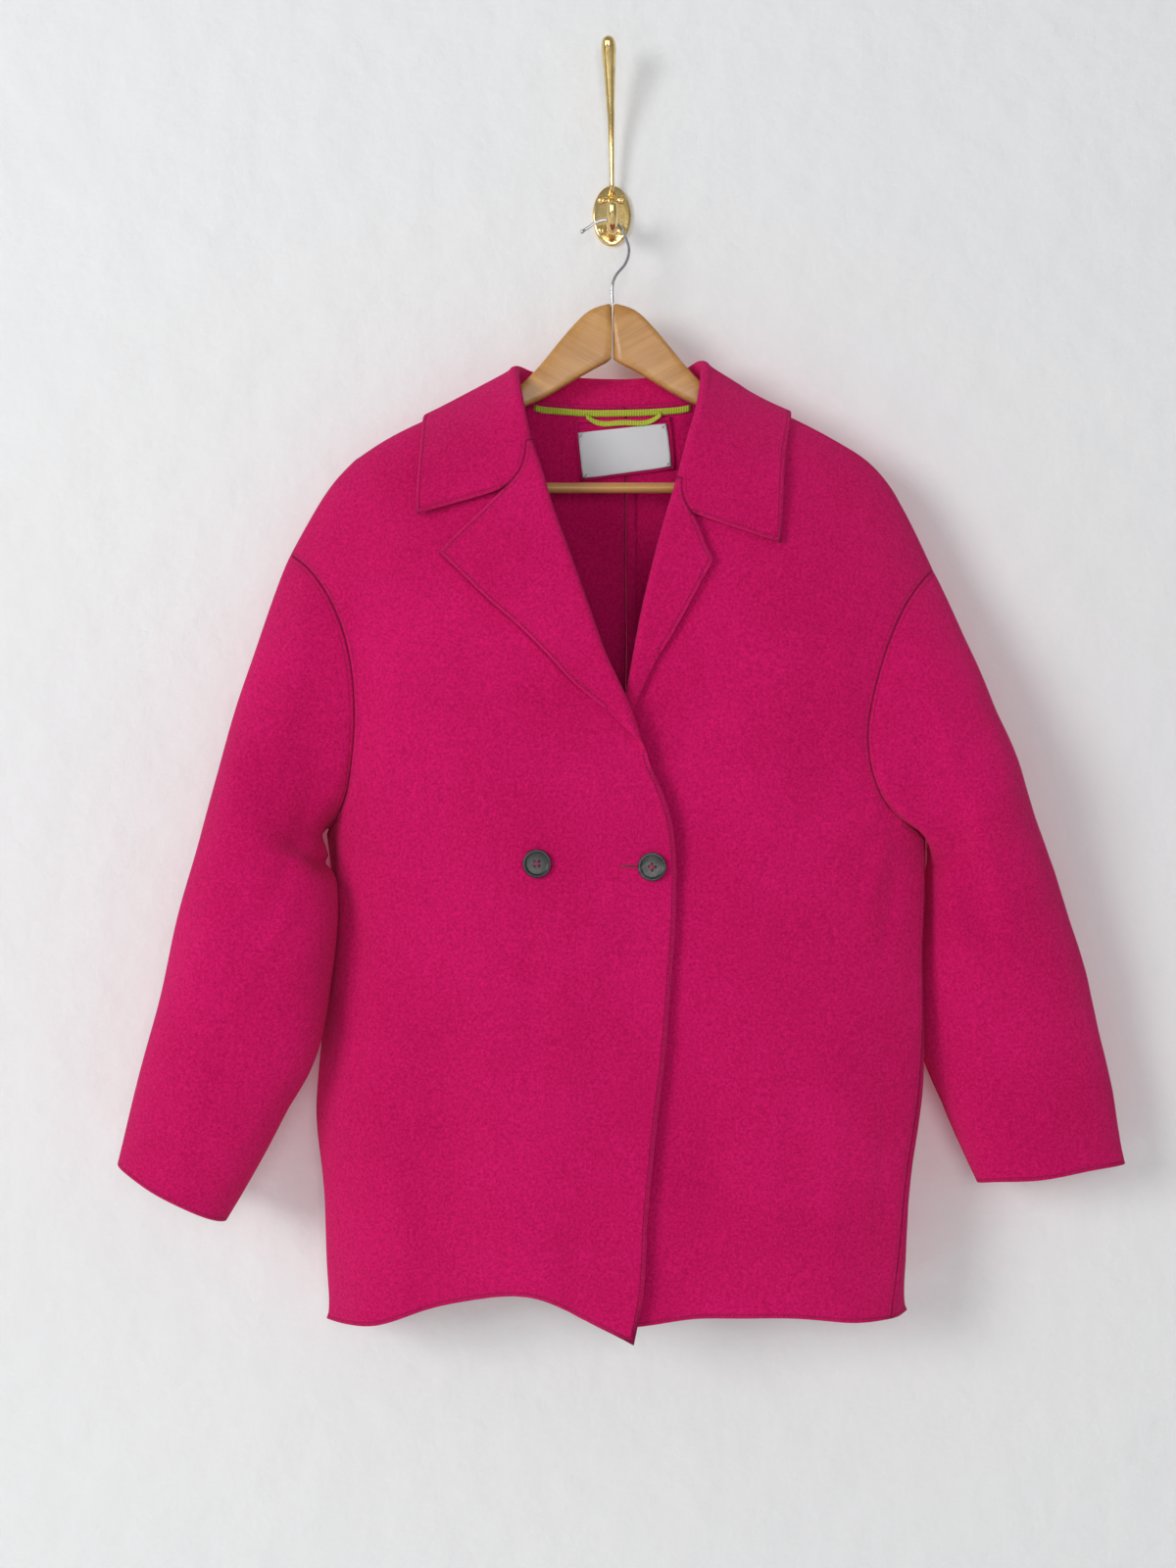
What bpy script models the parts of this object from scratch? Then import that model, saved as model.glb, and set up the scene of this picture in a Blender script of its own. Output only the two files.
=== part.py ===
"""A double-breasted coat of thick felted wool on a wooden hanger that hangs on a brass wall hook.

The row frame: origin at the middle of the wall plate's back face, +X to the viewer's right, +Z up, and
the coat's front faces -Y. Tables are in millimetres. Left and right in names are the wearer's, so the
right side lies at negative X. "out" is the distance from the plane x = 0 towards a table's own side.
"""

import math
from collections import namedtuple

import bmesh
import bpy
import numpy as np
from mathutils import Matrix
from mathutils.bvhtree import BVHTree
from mathutils.kdtree import KDTree

MM = 0.001
CLOTH = 2.4  # wall of the felted wool
SEAM = 0.3  # between two pieces that are sewn together
SAME_POINT = 0.05  # seam points nearer than this are one point
RIDGE_Y = -47.0  # plane of the hanger, under the shoulder seams
SIGN = {"right": -1.0, "left": 1.0}

NECK_ROWS = 3
ROLL_ROWS = 12
EDGE_ROWS = 10
ARMHOLE_ROWS = 13
RIDGE_SHARES = (0.04, 0.15, 0.42)  # extra rows between the shoulder seam and the next row, where the cloth rounds
RIDGE_ROWS = len(RIDGE_SHARES)
NECK_COLUMNS = 6
SHOULDER_COLUMNS = 9
GORGE_COLUMNS = 3
LAPEL_COLUMNS = 4
FOLD_COLUMNS = 4
FOLD_RADIUS = 4.0
FOLD_SAMPLES = 12
LAPEL_LIFT = 5.2
SLEEVE_RINGS = 13
LAPEL_LEAST = 1.5  # width of the lapel past its fold at the foot of the roll


def table(columns, rows):
    """Rows of a small table, each with the named columns."""
    row_type = namedtuple("Row", columns)
    return [row_type(*row) for row in rows]


def smooth_value(keys, values, at):
    """A smooth curve through (key, value) rows, read at one or many keys."""
    order = np.argsort(keys)
    x = np.asarray(keys, float)[order]
    y = np.asarray(values, float)[order]
    slope = np.gradient(y, x)
    t = np.clip(np.asarray(at, float), x[0], x[-1])
    i = np.clip(np.searchsorted(x, t) - 1, 0, len(x) - 2)
    h = x[i + 1] - x[i]
    s = (t - x[i]) / h
    return (
        (1 + 2 * s) * (1 - s) ** 2 * y[i]
        + s * (1 - s) ** 2 * h * slope[i]
        + s**2 * (3 - 2 * s) * y[i + 1]
        + s**2 * (s - 1) * h * slope[i + 1]
    )


def spline(points, fine=24):
    """Many points on a smooth curve through a few."""
    p = np.asarray(points, float)
    chord = np.concatenate([[0.0], np.cumsum(np.linalg.norm(np.diff(p, axis=0), axis=1))])
    at = np.concatenate([np.linspace(a, b, fine, endpoint=False) for a, b in zip(chord, chord[1:])])
    at = np.append(at, chord[-1])
    return np.stack([smooth_value(chord, p[:, k], at) for k in range(p.shape[1])], axis=1)


def length_along(points):
    """Running length at each point of a path."""
    return np.concatenate([[0.0], np.cumsum(np.linalg.norm(np.diff(points, axis=0), axis=1))])


def divide(points, fractions):
    """Points of a smooth curve at the given fractions of its length."""
    fine = spline(points)
    run = length_along(fine)
    return np.stack([np.interp(np.asarray(fractions) * run[-1], run, fine[:, k]) for k in range(fine.shape[1])], 1)


def steps(count, crowd=1.0):
    """Fractions from 0 to 1, closer together near 1 when crowd is above 1."""
    return 1.0 - (1.0 - np.linspace(0.0, 1.0, count + 1)) ** crowd


# ---------------------------------------------------------------- the coat's form

SHOULDER = {
    "right": table("out z", [(0, -150), (50, -151), (84, -154), (120, -168), (156, -183), (184, -196), (206, -210),
                             (218, -219), (227, -227), (237, -240), (250, -262), (261, -282), (268, -295)]),
    "left": table("out z", [(0, -150), (50, -151), (84, -154), (120, -168), (156, -183), (182, -197), (204, -210),
                            (218, -219), (226, -229), (237, -247), (252, -277), (266, -308)]),
}
SILHOUETTE = {
    "right": table("z out", [(-150, 300), (-300, 290), (-400, 268), (-470, 250), (-527, 238), (-600, 239),
                             (-680, 246), (-728, 252), (-767, 253), (-800, 248), (-847, 244), (-890, 243),
                             (-940, 239)]),
    "left": table("z out", [(-150, 300), (-300, 292), (-400, 275), (-470, 264), (-528, 257), (-604, 257),
                            (-703, 257), (-757, 255), (-796, 251), (-834, 247), (-891, 245), (-940, 243)]),
}
SIDE_DEPTH = {
    "right": table("z y", [(-150, -47), (-400, -46), (-940, -45)]),
    "left": table("z y", [(-150, -47), (-300, -50), (-400, -60), (-528, -74), (-940, -76)]),
}
# The side seam's distance in front of the widest line; a negative one lies behind it.
SIDE_SEAM = {
    "right": table("z forward", [(-527, 0), (-600, -5), (-940, -8)]),
    "left": table("z forward", [(-528, 0), (-565, 2), (-680, 5), (-738, 7.5), (-840, 11), (-891, 15), (-940, 18)]),
}
SHOULDER_SEAM_FORWARD = {"right": 0.0, "left": 4.0}
FRONT_DEPTH = table("z y", [(-150, -92), (-205, -97), (-250, -101), (-300, -106), (-400, -112), (-500, -117),
                            (-700, -118), (-940, -114)])
BACK_DEPTH = table("z y", [(-150, -25), (-190, -18), (-230, -14), (-320, -11), (-940, -10)])
FRONT_DROP = 150.0  # below the shoulder, where the front reaches its full depth
BACK_DROP = 60.0
SECTION_POWER = 2.5

# Soft folds of the fronts: positive heights stand towards the viewer.
FOLDS = {
    "right": table("out_top z_top out_foot z_foot width top foot", [
        (207, -300, 200, -430, 16, -5, -5), (180, -430, 196, -960, 20, 2, 5), (140, -560, 140, -960, 26, -2, -9),
        (70, -600, 68, -960, 26, 1, 5), (25, -640, 22, -960, 20, -1, -5)]),
    "left": table("out_top z_top out_foot z_foot width top foot", [
        (75, -480, 62, -960, 20, -3, -4), (165, -480, 150, -700, 22, -4, -2), (205, -560, 190, -960, 20, 2, 4)]),
}
# How far the underlap lies behind the overlap at the front.
UNDERLAP = table("z behind", [(-330, 0), (-410, 12), (-480, 14), (-526, 14), (-570, 8), (-700, 8),
                                (-940, 10)])
UNDERLAP_REACH = table("out share", [(55, 1), (125, 0)])


def read(rows, key, value, at):
    return smooth_value([getattr(r, key) for r in rows], [getattr(r, value) for r in rows], at)


def shoulder_z(side, out):
    return float(read(SHOULDER[side], "out", "z", abs(out)))


def half_width(side, z):
    return float(read(SILHOUETTE[side], "z", "out", z))


def rounding(side, out, z):
    """1 in the middle of the coat and 0 on its widest line."""
    t = min(1.0, abs(out) / half_width(side, z))
    return math.sqrt(1.0 - t**SECTION_POWER)


def closing(side, out, z, drop):
    """0 on the shoulder line and 1 a drop below it."""
    d = min(1.0, max(0.0, shoulder_z(side, out) - z) / drop)
    return math.sqrt(1.0 - (1.0 - d) ** 2)


def fold_height(side, out, z):
    height = 0.0
    for f in FOLDS[side]:
        t = (z - f.z_top) / (f.z_foot - f.z_top)
        centre = f.out_top + (f.out_foot - f.out_top) * t
        reach = min(1.0, max(0.0, t + 0.35) / 0.35, max(0.0, 1.35 - t) / 0.35)
        reach = reach * reach * (3 - 2 * reach)
        across = math.exp(-(((out - centre) / f.width) ** 2))
        height += (f.top + (f.foot - f.top) * min(1.0, max(0.0, t))) * reach * across
    return height


def front_y(side, out, z):
    y0 = float(read(SIDE_DEPTH[side], "z", "y", z))
    full = float(read(FRONT_DEPTH, "z", "y", z)) - y0
    shape = closing(side, out, z, FRONT_DROP) * rounding(side, out, z)
    y = y0 + full * shape - fold_height(side, out, z) * shape
    if side == "left":
        share = float(read(UNDERLAP_REACH, "out", "share", out))
        y += float(read(UNDERLAP, "z", "behind", z)) * share
    return y


def back_y(side, out, z):
    y0 = float(read(SIDE_DEPTH[side], "z", "y", z))
    full = float(read(BACK_DEPTH, "z", "y", z)) - y0
    return y0 + full * closing(side, out, z, BACK_DROP) * rounding(side, out, z)


def form_point(side, out, z, sheet):
    """A point of the coat's form. Past the widest line or the shoulder line it goes on over the other sheet."""
    width = half_width(side, z)
    if out > width:
        out, sheet = 2 * width - out, {"front": "back", "back": "front"}[sheet]
    ridge = shoulder_z(side, out)
    if z > ridge:
        z, sheet = 2 * ridge - z, {"front": "back", "back": "front"}[sheet]
    y = front_y(side, out, z) if sheet == "front" else back_y(side, out, z)
    return np.array([SIGN[side] * out, y, z])


# ---------------------------------------------------------------- edges of the flat pieces

ARMHOLE_FRONT = {
    "right": table("out z", [(254, -305), (242, -318), (233, -332), (225, -349), (219, -364), (214, -385),
                             (212, -415), (212, -439), (214, -466), (222, -503)]),
    "left": table("out z", [(247, -328), (230, -358), (218, -389), (211, -420), (207, -453), (210, -478),
                            (216, -494), (232, -513)]),
}
ARMHOLE_BACK = {
    "right": table("out z", [(250, -325), (236, -365), (228, -410), (226, -460), (230, -500)]),
    "left": table("out z", [(250, -340), (236, -380), (230, -430), (233, -478), (244, -512)]),
}
UNDERARM_Z = {"right": -527, "left": -528}
NECK_POINT_OUT = 84.0
BACK_CENTRE_X = 12.0  # the centre-back seam hangs a little to the viewer's right
ROLL = {
    "right": table("out z", [(67, -205), (60.5, -221), (51, -257), (37, -294), (21, -340), (9.5, -375), (-7, -410),
                             (-20, -443), (-28.5, -470)]),
    "left": table("out z", [(52.5, -237), (45.5, -257), (39, -283), (32, -307), (27, -328), (21.5, -354),
                            (17, -380), (12, -407), (-5, -448), (-28, -482), (-50, -506), (-72, -526)]),
}
NECK_FRONT = {
    "right": table("out z", [(82, -172), (76, -190)]),
    "left": table("out z", [(79, -182), (68, -210)]),
}
FRONT_EDGE = {
    "right": table("out z", [(-28.5, -470), (-37, -490), (-47, -509), (-51, -532), (-52, -555), (-50.5, -589),
                             (-45, -666), (-37, -742), (-27.5, -837), (-20.5, -925), (-16.5, -938)]),
    "left": table("out z", [(-72, -526), (-79, -540), (-82, -560), (-82, -600), (-72, -720), (-54, -903)]),
}
HEM = {
    "right": table("out z", [(16.5, -938), (-20, -919), (-54, -901), (-78, -896), (-110, -901), (-131, -908),
                             (-152, -915), (-174, -922), (-197, -929), (-223, -932)]),
    "left": table("out z", [(-54, -903), (-14, -927), (21, -928), (39, -923), (55, -919), (74, -917.5),
                            (122, -918), (156, -919), (198, -923)]),
}
SIDE_HEM_Z = {"right": -931, "left": -923}
BACK_HEM_CENTRE_Z = -908
BACK_NECK = table("x z", [(-84, -154), (-73, -162.5), (-40, -168.5), (12, -169.5), (40, -168.5), (73, -162.5),
                          (84, -154)])
NOTCH = {"right": (90, -247), "left": (64, -266.5)}
GORGE = {
    "right": table("out z", [(71, -221), (82, -241)]),
    "left": table("out z", [(55, -247), (60, -261)]),
}
LAPEL_TOP = {
    "right": table("out z", [(106, -264), (121, -278), (133, -289), (141, -298)]),
    "left": table("out z", [(68, -275), (72, -286), (76, -297), (81.5, -304)]),
}
LAPEL_EDGE = {
    "right": table("out z", [(141, -298), (131, -307), (118, -320), (100, -338), (82, -353), (60, -373), (43, -393),
                             (5.5, -425), (-20, -453), (-28.5, -470)]),
    "left": table("out z", [(81.5, -304), (76, -313), (68, -328), (58, -347), (47, -366), (37, -381), (28.5, -396),
                            (21, -412), (13, -432), (-11, -472), (-41, -506), (-72, -526)]),
}
# The roll dies out in its last rows: how far above the break each is, and how far it turns.
LAST_CURLS = table("above_break turn", [(30, math.pi), (20, 2.3), (10, 1.15), (0, 0)])


def pairs(rows):
    return [(r[0], r[1]) for r in rows]


def side_corner(side):
    """Where the side seam meets the hem, as the front's out and the back's out."""
    z = SIDE_HEM_Z[side]
    forward = float(read(SIDE_SEAM[side], "z", "forward", z))
    return half_width(side, z) - forward, half_width(side, z) + forward, z


def side_seam(side, sheet_sign):
    """Side seam from underarm to hem, for the front (-1) or the back (+1)."""
    zs = np.linspace(UNDERARM_Z[side], SIDE_HEM_Z[side], NECK_ROWS + ROLL_ROWS + EDGE_ROWS - ARMHOLE_ROWS + 1)
    forward = [float(read(SIDE_SEAM[side], "z", "forward", z)) for z in zs]
    return np.array([(half_width(side, z) + sheet_sign * f, z) for z, f in zip(zs, forward)])


def shoulder_seam(side, up):
    """Shoulder seam from the neck point out, dropped (-1) or raised (+1) by its forward shift."""
    fractions = steps(SHOULDER_COLUMNS, 1.5)
    outs = NECK_POINT_OUT + (SHOULDER[side][-1].out - NECK_POINT_OUT) * fractions
    shift = SHOULDER_SEAM_FORWARD[side] * np.sin(math.pi * np.clip(fractions * 1.15, 0, 1)) ** 0.5
    return np.array([(out, shoulder_z(side, out) + up * s) for out, s in zip(outs, shift)])


def outer_edge(side, armhole, sheet_sign, tip):
    """Armhole from the shoulder tip to the underarm, then the side seam to the hem."""
    underarm = (half_width(side, UNDERARM_Z[side]), UNDERARM_Z[side])
    hole = divide([tip] + pairs(armhole) + [underarm], steps(ARMHOLE_ROWS))
    return np.vstack([hole, side_seam(side, sheet_sign)[1:]])


def patch(top, bottom, inner, outer):
    """Coons patch: rows run from top to bottom, columns from inner to outer."""
    def shares(a, b):
        a, b = length_along(a), length_along(b)
        return (a / a[-1] + b / b[-1]) / 2
    u = shares(top, bottom)[None, :, None]
    v = shares(inner, outer)[:, None, None]
    across = (1 - v) * top[None] + v * bottom[None]
    down = (1 - u) * inner[:, None] + u * outer[:, None]
    corners = ((1 - u) * (1 - v) * top[0] + u * (1 - v) * top[-1] + (1 - u) * v * bottom[0] + u * v * bottom[-1])
    return across + down - corners


def add_ridge_rows(plane):
    """Extra rows just below the shoulder seam."""
    extra = [plane[0] + (plane[1] - plane[0]) * share for share in RIDGE_SHARES]
    return np.vstack([plane[:1], extra, plane[1:]])


# ---------------------------------------------------------------- cloth pieces as sheets

class Sheet:
    """Middle surface of a piece of cloth: points, faces and the rows of points that other pieces use."""

    def __init__(self, name):
        self.name, self.points, self.faces, self.normals = name, [], [], None

    def add(self, point):
        self.points.append(np.asarray(point, float))
        return len(self.points) - 1

    def add_grid(self, grid):
        rows, columns = grid.shape[:2]
        return np.array([[self.add(grid[i, j]) for j in range(columns)] for i in range(rows)])

    def skin(self, ids, flip=False, closed=False):
        """Faces over a grid of point ids. Outward is -Y when columns run to +X and rows run down."""
        rows, columns = ids.shape
        last = columns if closed else columns - 1
        for i in range(rows - 1):
            for j in range(last):
                k = (j + 1) % columns
                ring = [ids[i, j], ids[i + 1, j], ids[i + 1, k], ids[i, k]]
                ring = [p for n, p in enumerate(ring) if p != ring[n - 1]]
                if len(set(ring)) > 2:
                    self.faces.append(ring[::-1] if flip else ring)


def roll_rows(side):
    """Roll line from the gorge to the break, with each row's way towards the opening and its turn."""
    fine = spline(pairs(ROLL[side]))
    run = length_along(fine)
    last = [run[-1] - r.above_break for r in LAST_CURLS]
    ends = np.concatenate([np.linspace(0, last[0], ROLL_ROWS + 2 - len(last)), last[1:]])
    line = np.stack([np.interp(ends, run, fine[:, k]) for k in range(2)], 1)
    tangent = np.gradient(line, axis=0)
    tangent /= np.linalg.norm(tangent, axis=1)[:, None]
    opening = np.stack([tangent[:, 1], -tangent[:, 0]], 1)
    turns = np.full(len(line), math.pi)
    turns[-len(last):] = [r.turn for r in LAST_CURLS]
    return line, opening, turns


def lapel_ends(side, start, tip, opening):
    """Where each row of the lapel meets its edge. The rows turn from the tip's way to square with the roll."""
    edge = spline(pairs(LAPEL_EDGE[side]))
    first = (tip - start[0]) / np.linalg.norm(tip - start[0])
    ends = [tip]
    full_rows = ROLL_ROWS + 2 - len(LAST_CURLS)
    for j in range(1, full_rows):
        share = j / (full_rows - 1)
        way = (1 - share) * first - share * opening[j]
        way /= np.linalg.norm(way)
        off = edge - start[j]
        side_of = way[0] * off[:, 1] - way[1] * off[:, 0]
        ahead = off @ way
        crossing = [i for i in range(len(edge) - 1) if side_of[i] * side_of[i + 1] <= 0 and ahead[i] > 0]
        reach = ahead[crossing[0]] if crossing else 0.0
        ends.append(start[j] + way * max(reach, LAPEL_LEAST))
    return np.array(ends)


def front_sheet(side):
    """A front cut in one with its lapel."""
    sheet = Sheet(f"front_{side}")
    line, opening, turns = roll_rows(side)
    shift = FOLD_RADIUS * np.sin(np.minimum(turns, math.pi / 2))
    start = line - opening * shift[:, None]

    top = shoulder_seam(side, -1)
    neck = divide([tuple(top[0])] + pairs(NECK_FRONT[side]) + [tuple(start[0])], steps(NECK_ROWS))
    edge = divide(pairs(FRONT_EDGE[side]), steps(EDGE_ROWS))
    inner = np.vstack([neck[:-1], start, edge[1:]])
    outer = outer_edge(side, ARMHOLE_FRONT[side], -1, tuple(top[-1]))
    corner = side_corner(side)
    hem = [(-r.out if side == "right" else r.out, r.z) for r in HEM[side]] + [(corner[0], corner[2])]
    bottom = divide(hem, steps(SHOULDER_COLUMNS, 1.5))
    inner[-1], outer[-1] = bottom[0], bottom[-1]
    plane = add_ridge_rows(patch(top, bottom, inner, outer))
    grid = np.array([[form_point(side, q[0], q[1], "front") for q in row] for row in plane])
    ids = sheet.add_grid(grid)
    sheet.skin(ids, flip=side == "right")

    # The lapel: each row goes round the fold, then out over the front to the lapel's edge.
    first = RIDGE_ROWS + NECK_ROWS
    roll_ids = ids[first:first + ROLL_ROWS + 1, 0]
    columns = FOLD_COLUMNS + GORGE_COLUMNS + LAPEL_COLUMNS
    landing = start[0]
    gorge = divide([tuple(landing)] + pairs(GORGE[side]) + [NOTCH[side]], steps(GORGE_COLUMNS))
    brow = divide([NOTCH[side]] + pairs(LAPEL_TOP[side]), steps(LAPEL_COLUMNS))
    head = np.vstack([gorge, brow[1:]])
    share = length_along(head) / length_along(head)[-1]
    straight = landing + share[:, None] * (head[-1] - landing)
    ends = lapel_ends(side, start, head[-1], opening)
    lapel_ids = np.zeros((ROLL_ROWS + 1, columns + 1), int)
    lapel_ids[:, 0] = roll_ids
    lapel_ids[-1, :] = roll_ids[-1]
    way = SIGN[side]
    front = np.array([0, -1.0, 0])
    for j in range(ROLL_ROWS):
        out_dir = np.array([way * opening[j, 0], 0.0, opening[j, 1]])
        row = [sheet.points[roll_ids[j]] + FOLD_RADIUS * (out_dir * math.sin(a) + front * (1 - math.cos(a)))
               for a in np.linspace(0, turns[j], FOLD_SAMPLES + 1)]
        fade = max(0.0, 1 - j / len(ends)) ** 1.5
        if j < len(ends):
            fade *= np.linalg.norm(ends[j] - start[j]) / np.linalg.norm(ends[0] - start[0])
        for k in range(1, len(head) if j < len(ends) else 0):
            flat = start[j] + share[k] * (ends[j] - start[j]) + fade * (head[k] - straight[k])
            lift = 2 * FOLD_RADIUS + (LAPEL_LIFT - 2 * FOLD_RADIUS) * share[k]
            row.append(np.array([way * flat[0], front_y(side, flat[0], flat[1]) - lift, flat[1]]))
        run = length_along(row)
        even = np.linspace(0, run[-1], columns + 1)
        fold = np.linspace(0, run[FOLD_SAMPLES], FOLD_COLUMNS + 1)
        own = np.append(fold, run[FOLD_SAMPLES + 1:]) if j < len(ends) else even
        evenness = min(1.0, max(0.0, (j - len(ends)) / 2 + 1.5))
        spots = (1 - evenness) * own + evenness * even
        placed = np.stack([np.interp(spots, run, np.array(row)[:, k]) for k in range(3)], 1)
        lapel_ids[j, 1:] = [sheet.add(p) for p in placed[1:]]
    sheet.skin(lapel_ids, flip=side == "left")
    sheet.grid, sheet.lapel = ids, lapel_ids
    return sheet


def back_sheet(side):
    """A back, from the centre-back seam out to the armhole and the side seam."""
    sheet = Sheet(f"back_{side}")
    way = SIGN[side]
    centre = way * BACK_CENTRE_X
    neck = [(way * r.x, r.z) for r in (BACK_NECK if side == "left" else BACK_NECK[::-1]) if way * r.x >= centre - 0.1]
    shoulder = shoulder_seam(side, 1)
    neck = divide(neck[:-1] + [tuple(shoulder[0])], steps(NECK_COLUMNS, 1.6))
    top = np.vstack([neck[:-1], shoulder])
    outer = outer_edge(side, ARMHOLE_BACK[side], 1, tuple(shoulder[-1]))
    corner = side_corner(side)
    hem = [(centre, BACK_HEM_CENTRE_Z), (0.5 * (centre + corner[1]), 0.6 * BACK_HEM_CENTRE_Z + 0.4 * corner[2]),
           (corner[1], corner[2])]
    fractions = np.concatenate([np.linspace(0, 0.3, NECK_COLUMNS, endpoint=False),
                                0.3 + 0.7 * steps(SHOULDER_COLUMNS, 1.5)])
    bottom = divide(hem, fractions)
    rows = NECK_ROWS + ROLL_ROWS + EDGE_ROWS
    inner = divide([tuple(neck[0]), (centre, -500.0), (centre, BACK_HEM_CENTRE_Z)], steps(rows))
    inner[0], inner[-1], outer[-1] = top[0], bottom[0], bottom[-1]
    plane = add_ridge_rows(patch(top, bottom, inner, outer))
    grid = np.array([[form_point(side, q[0], q[1], "back") for q in row] for row in plane])
    grid[:, 0] = [form_point("left", BACK_CENTRE_X, q[1], "back") for q in plane[:, 0]]
    sheet.grid = sheet.add_grid(grid)
    sheet.skin(sheet.grid, flip=side == "left")
    return sheet


# Sections of a sleeve below its armhole: the outer and inner ends of each, its middle's depth and half its depth.
SLEEVE = {
    "right": table("outer_out outer_z inner_out inner_z y half_depth", [
        (306, -410, 252, -549, -66, 42), (338, -530, 232, -572, -82, 44), (366, -647, 239, -684, -90, 42),
        (391, -738, 275, -768, -86, 40), (405, -797, 317.5, -843, -80, 37)]),
    "left": table("outer_out outer_z inner_out inner_z y half_depth", [
        (319, -431, 272, -546, -64, 42), (355, -527, 270, -566, -54, 42), (387, -620, 256, -650, -50, 39),
        (410, -712, 262, -720, -50, 31), (426, -801, 304, -817, -54, 23)]),
}
SLEEVE_POWER = 2.2
# How a sleeve leaves its armhole, by the angle from the shoulder over the front to the underarm and the back.
LEAVE = table("angle out y z", [(0, 4, 0, -8.5), (60, 8, -2, -3), (120, 8, -4, 0), (160, 5.5, -7, -1.5),
                                (180, 9.5, -1, -2.5), (200, 8, 3, -1), (300, 8, 0, -4), (360, 4, 0, -8.5)])
LEAVE_AT = 0.36  # as a share of the way to the first section


def round_power(value, power):
    return math.copysign(abs(value) ** (2.0 / power), value)


def section(row, side, count):
    """A closed section of a sleeve, from its outer end round the front and the inner end."""
    outer = np.array([SIGN[side] * row.outer_out, row.y, row.outer_z])
    inner = np.array([SIGN[side] * row.inner_out, row.y, row.inner_z])
    middle, half = (outer + inner) / 2, (outer - inner) / 2
    angles = np.linspace(0, 2 * math.pi, count, endpoint=False)
    depth = np.array([0.0, -row.half_depth, 0.0])
    return np.array([middle + half * round_power(math.cos(a), SLEEVE_POWER)
                     + depth * round_power(math.sin(a), SLEEVE_POWER) for a in angles])


def sleeve_sheet(side, front, back):
    """A sleeve: its first ring is the armhole of the two body pieces."""
    sheet = Sheet(f"sleeve_{side}")
    underarm = RIDGE_ROWS + ARMHOLE_ROWS
    hole = [front.points[i] for i in front.grid[:underarm + 1, -1]]
    hole += [back.points[i] for i in back.grid[1:underarm, -1][::-1]]
    angles = np.linspace(0, 360, len(hole), endpoint=False)
    leave = np.stack([SIGN[side] * read(LEAVE, "angle", "out", angles), read(LEAVE, "angle", "y", angles),
                      read(LEAVE, "angle", "z", angles)], axis=1)
    rings = [np.array(hole), hole + leave] + [section(row, side, len(hole)) for row in SLEEVE[side]]
    stack = np.array(rings)
    at = np.linspace(0, len(SLEEVE[side]), SLEEVE_RINGS + 1)
    keys = [0, LEAVE_AT, *range(1, len(SLEEVE[side]) + 1)]
    grid = np.array([[[smooth_value(keys, stack[:, i, k], t) for k in range(3)] for i in range(len(hole))]
                     for t in at])
    grid[0] = stack[0]
    sheet.grid = sheet.add_grid(grid)
    sheet.skin(sheet.grid, flip=side == "left", closed=True)
    return sheet


# Each half of the collar by station: 0 where the roll line starts, 1 at the neck point and 2 at the centre back.
# The middle of the roll, the way its outer side faces, and the outer edge. The first row's roll is the lapel's.
COLLAR = {
    "right": table("station roll_out roll_y roll_z away_out away_y edge_out edge_y edge_z", [
        (0.00, 71, -92, -206, 0, -1, 160.5, -102, -266.5), (0.35, 75.5, -84, -185, 0.45, -0.85, 159.5, -95, -238),
        (0.70, 79.5, -72, -162, 0.85, -0.45, 157.5, -80, -207), (1.00, 81.5, -48, -141, 1, 0, 154.3, -47, -177),
        (1.30, 66, -26, -143.5, 0.75, 0.65, 128, -20, -192), (1.60, 35, -19, -146, 0.3, 0.95, 75, -9, -212),
        (2.00, -12, -17.5, -147.5, 0, 1, -12, -6, -222)]),
    "left": table("station roll_out roll_y roll_z away_out away_y edge_out edge_y edge_z", [
        (0.00, 56, -99, -238, 0, -1, 136, -103, -290.5), (0.35, 64.5, -92, -204, 0.4, -0.9, 138, -99, -253),
        (0.70, 74, -78, -172, 0.8, -0.55, 140.5, -84, -214), (1.00, 76.5, -48, -136.5, 1, 0, 145.5, -48, -177.5),
        (1.30, 62, -25, -141, 0.7, 0.7, 118, -20, -193), (1.60, 42, -19, -144.5, 0.3, 0.95, 82, -9, -210),
        (2.00, 12, -17.5, -147.5, 0, 1, 12, -6, -222)]),
}
COLLAR_CLEAR = 5.0  # from the middle of the body's wall to the middle of the collar's
COLLAR_EDGE_COLUMNS = 3
BEND_REACH = 0.9  # the station at which the bend of the gorge has faded out of the collar


class Ground:
    """The faces of some sheets, to lay other pieces on."""

    def __init__(self, sheets, grids):
        points, faces = [], []
        for sheet, ids in zip(sheets, grids):
            inside = {int(i) for i in ids.ravel()}
            start = len(points)
            points += [tuple(p) for p in sheet.points]
            faces += [[i + start for i in face] for face in sheet.faces if set(face) <= inside]
        self.tree = BVHTree.FromPolygons(points, faces)

    def clear(self, point, distance):
        """The point, moved out where it is nearer than a distance to the outside of the faces."""
        near, normal, _, _ = self.tree.find_nearest(point)
        near, normal = np.array(near), np.array(normal)
        if (point - near).dot(normal) < distance:
            return near + normal * distance
        return point

    def depth(self, x, z, way=1.0):
        """The y where a line along Y from the front meets the faces, or from the back if way is -1."""
        hit = self.tree.ray_cast((x, -500.0 * way, z), (0.0, way, 0.0))[0]
        return hit[1]


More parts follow.
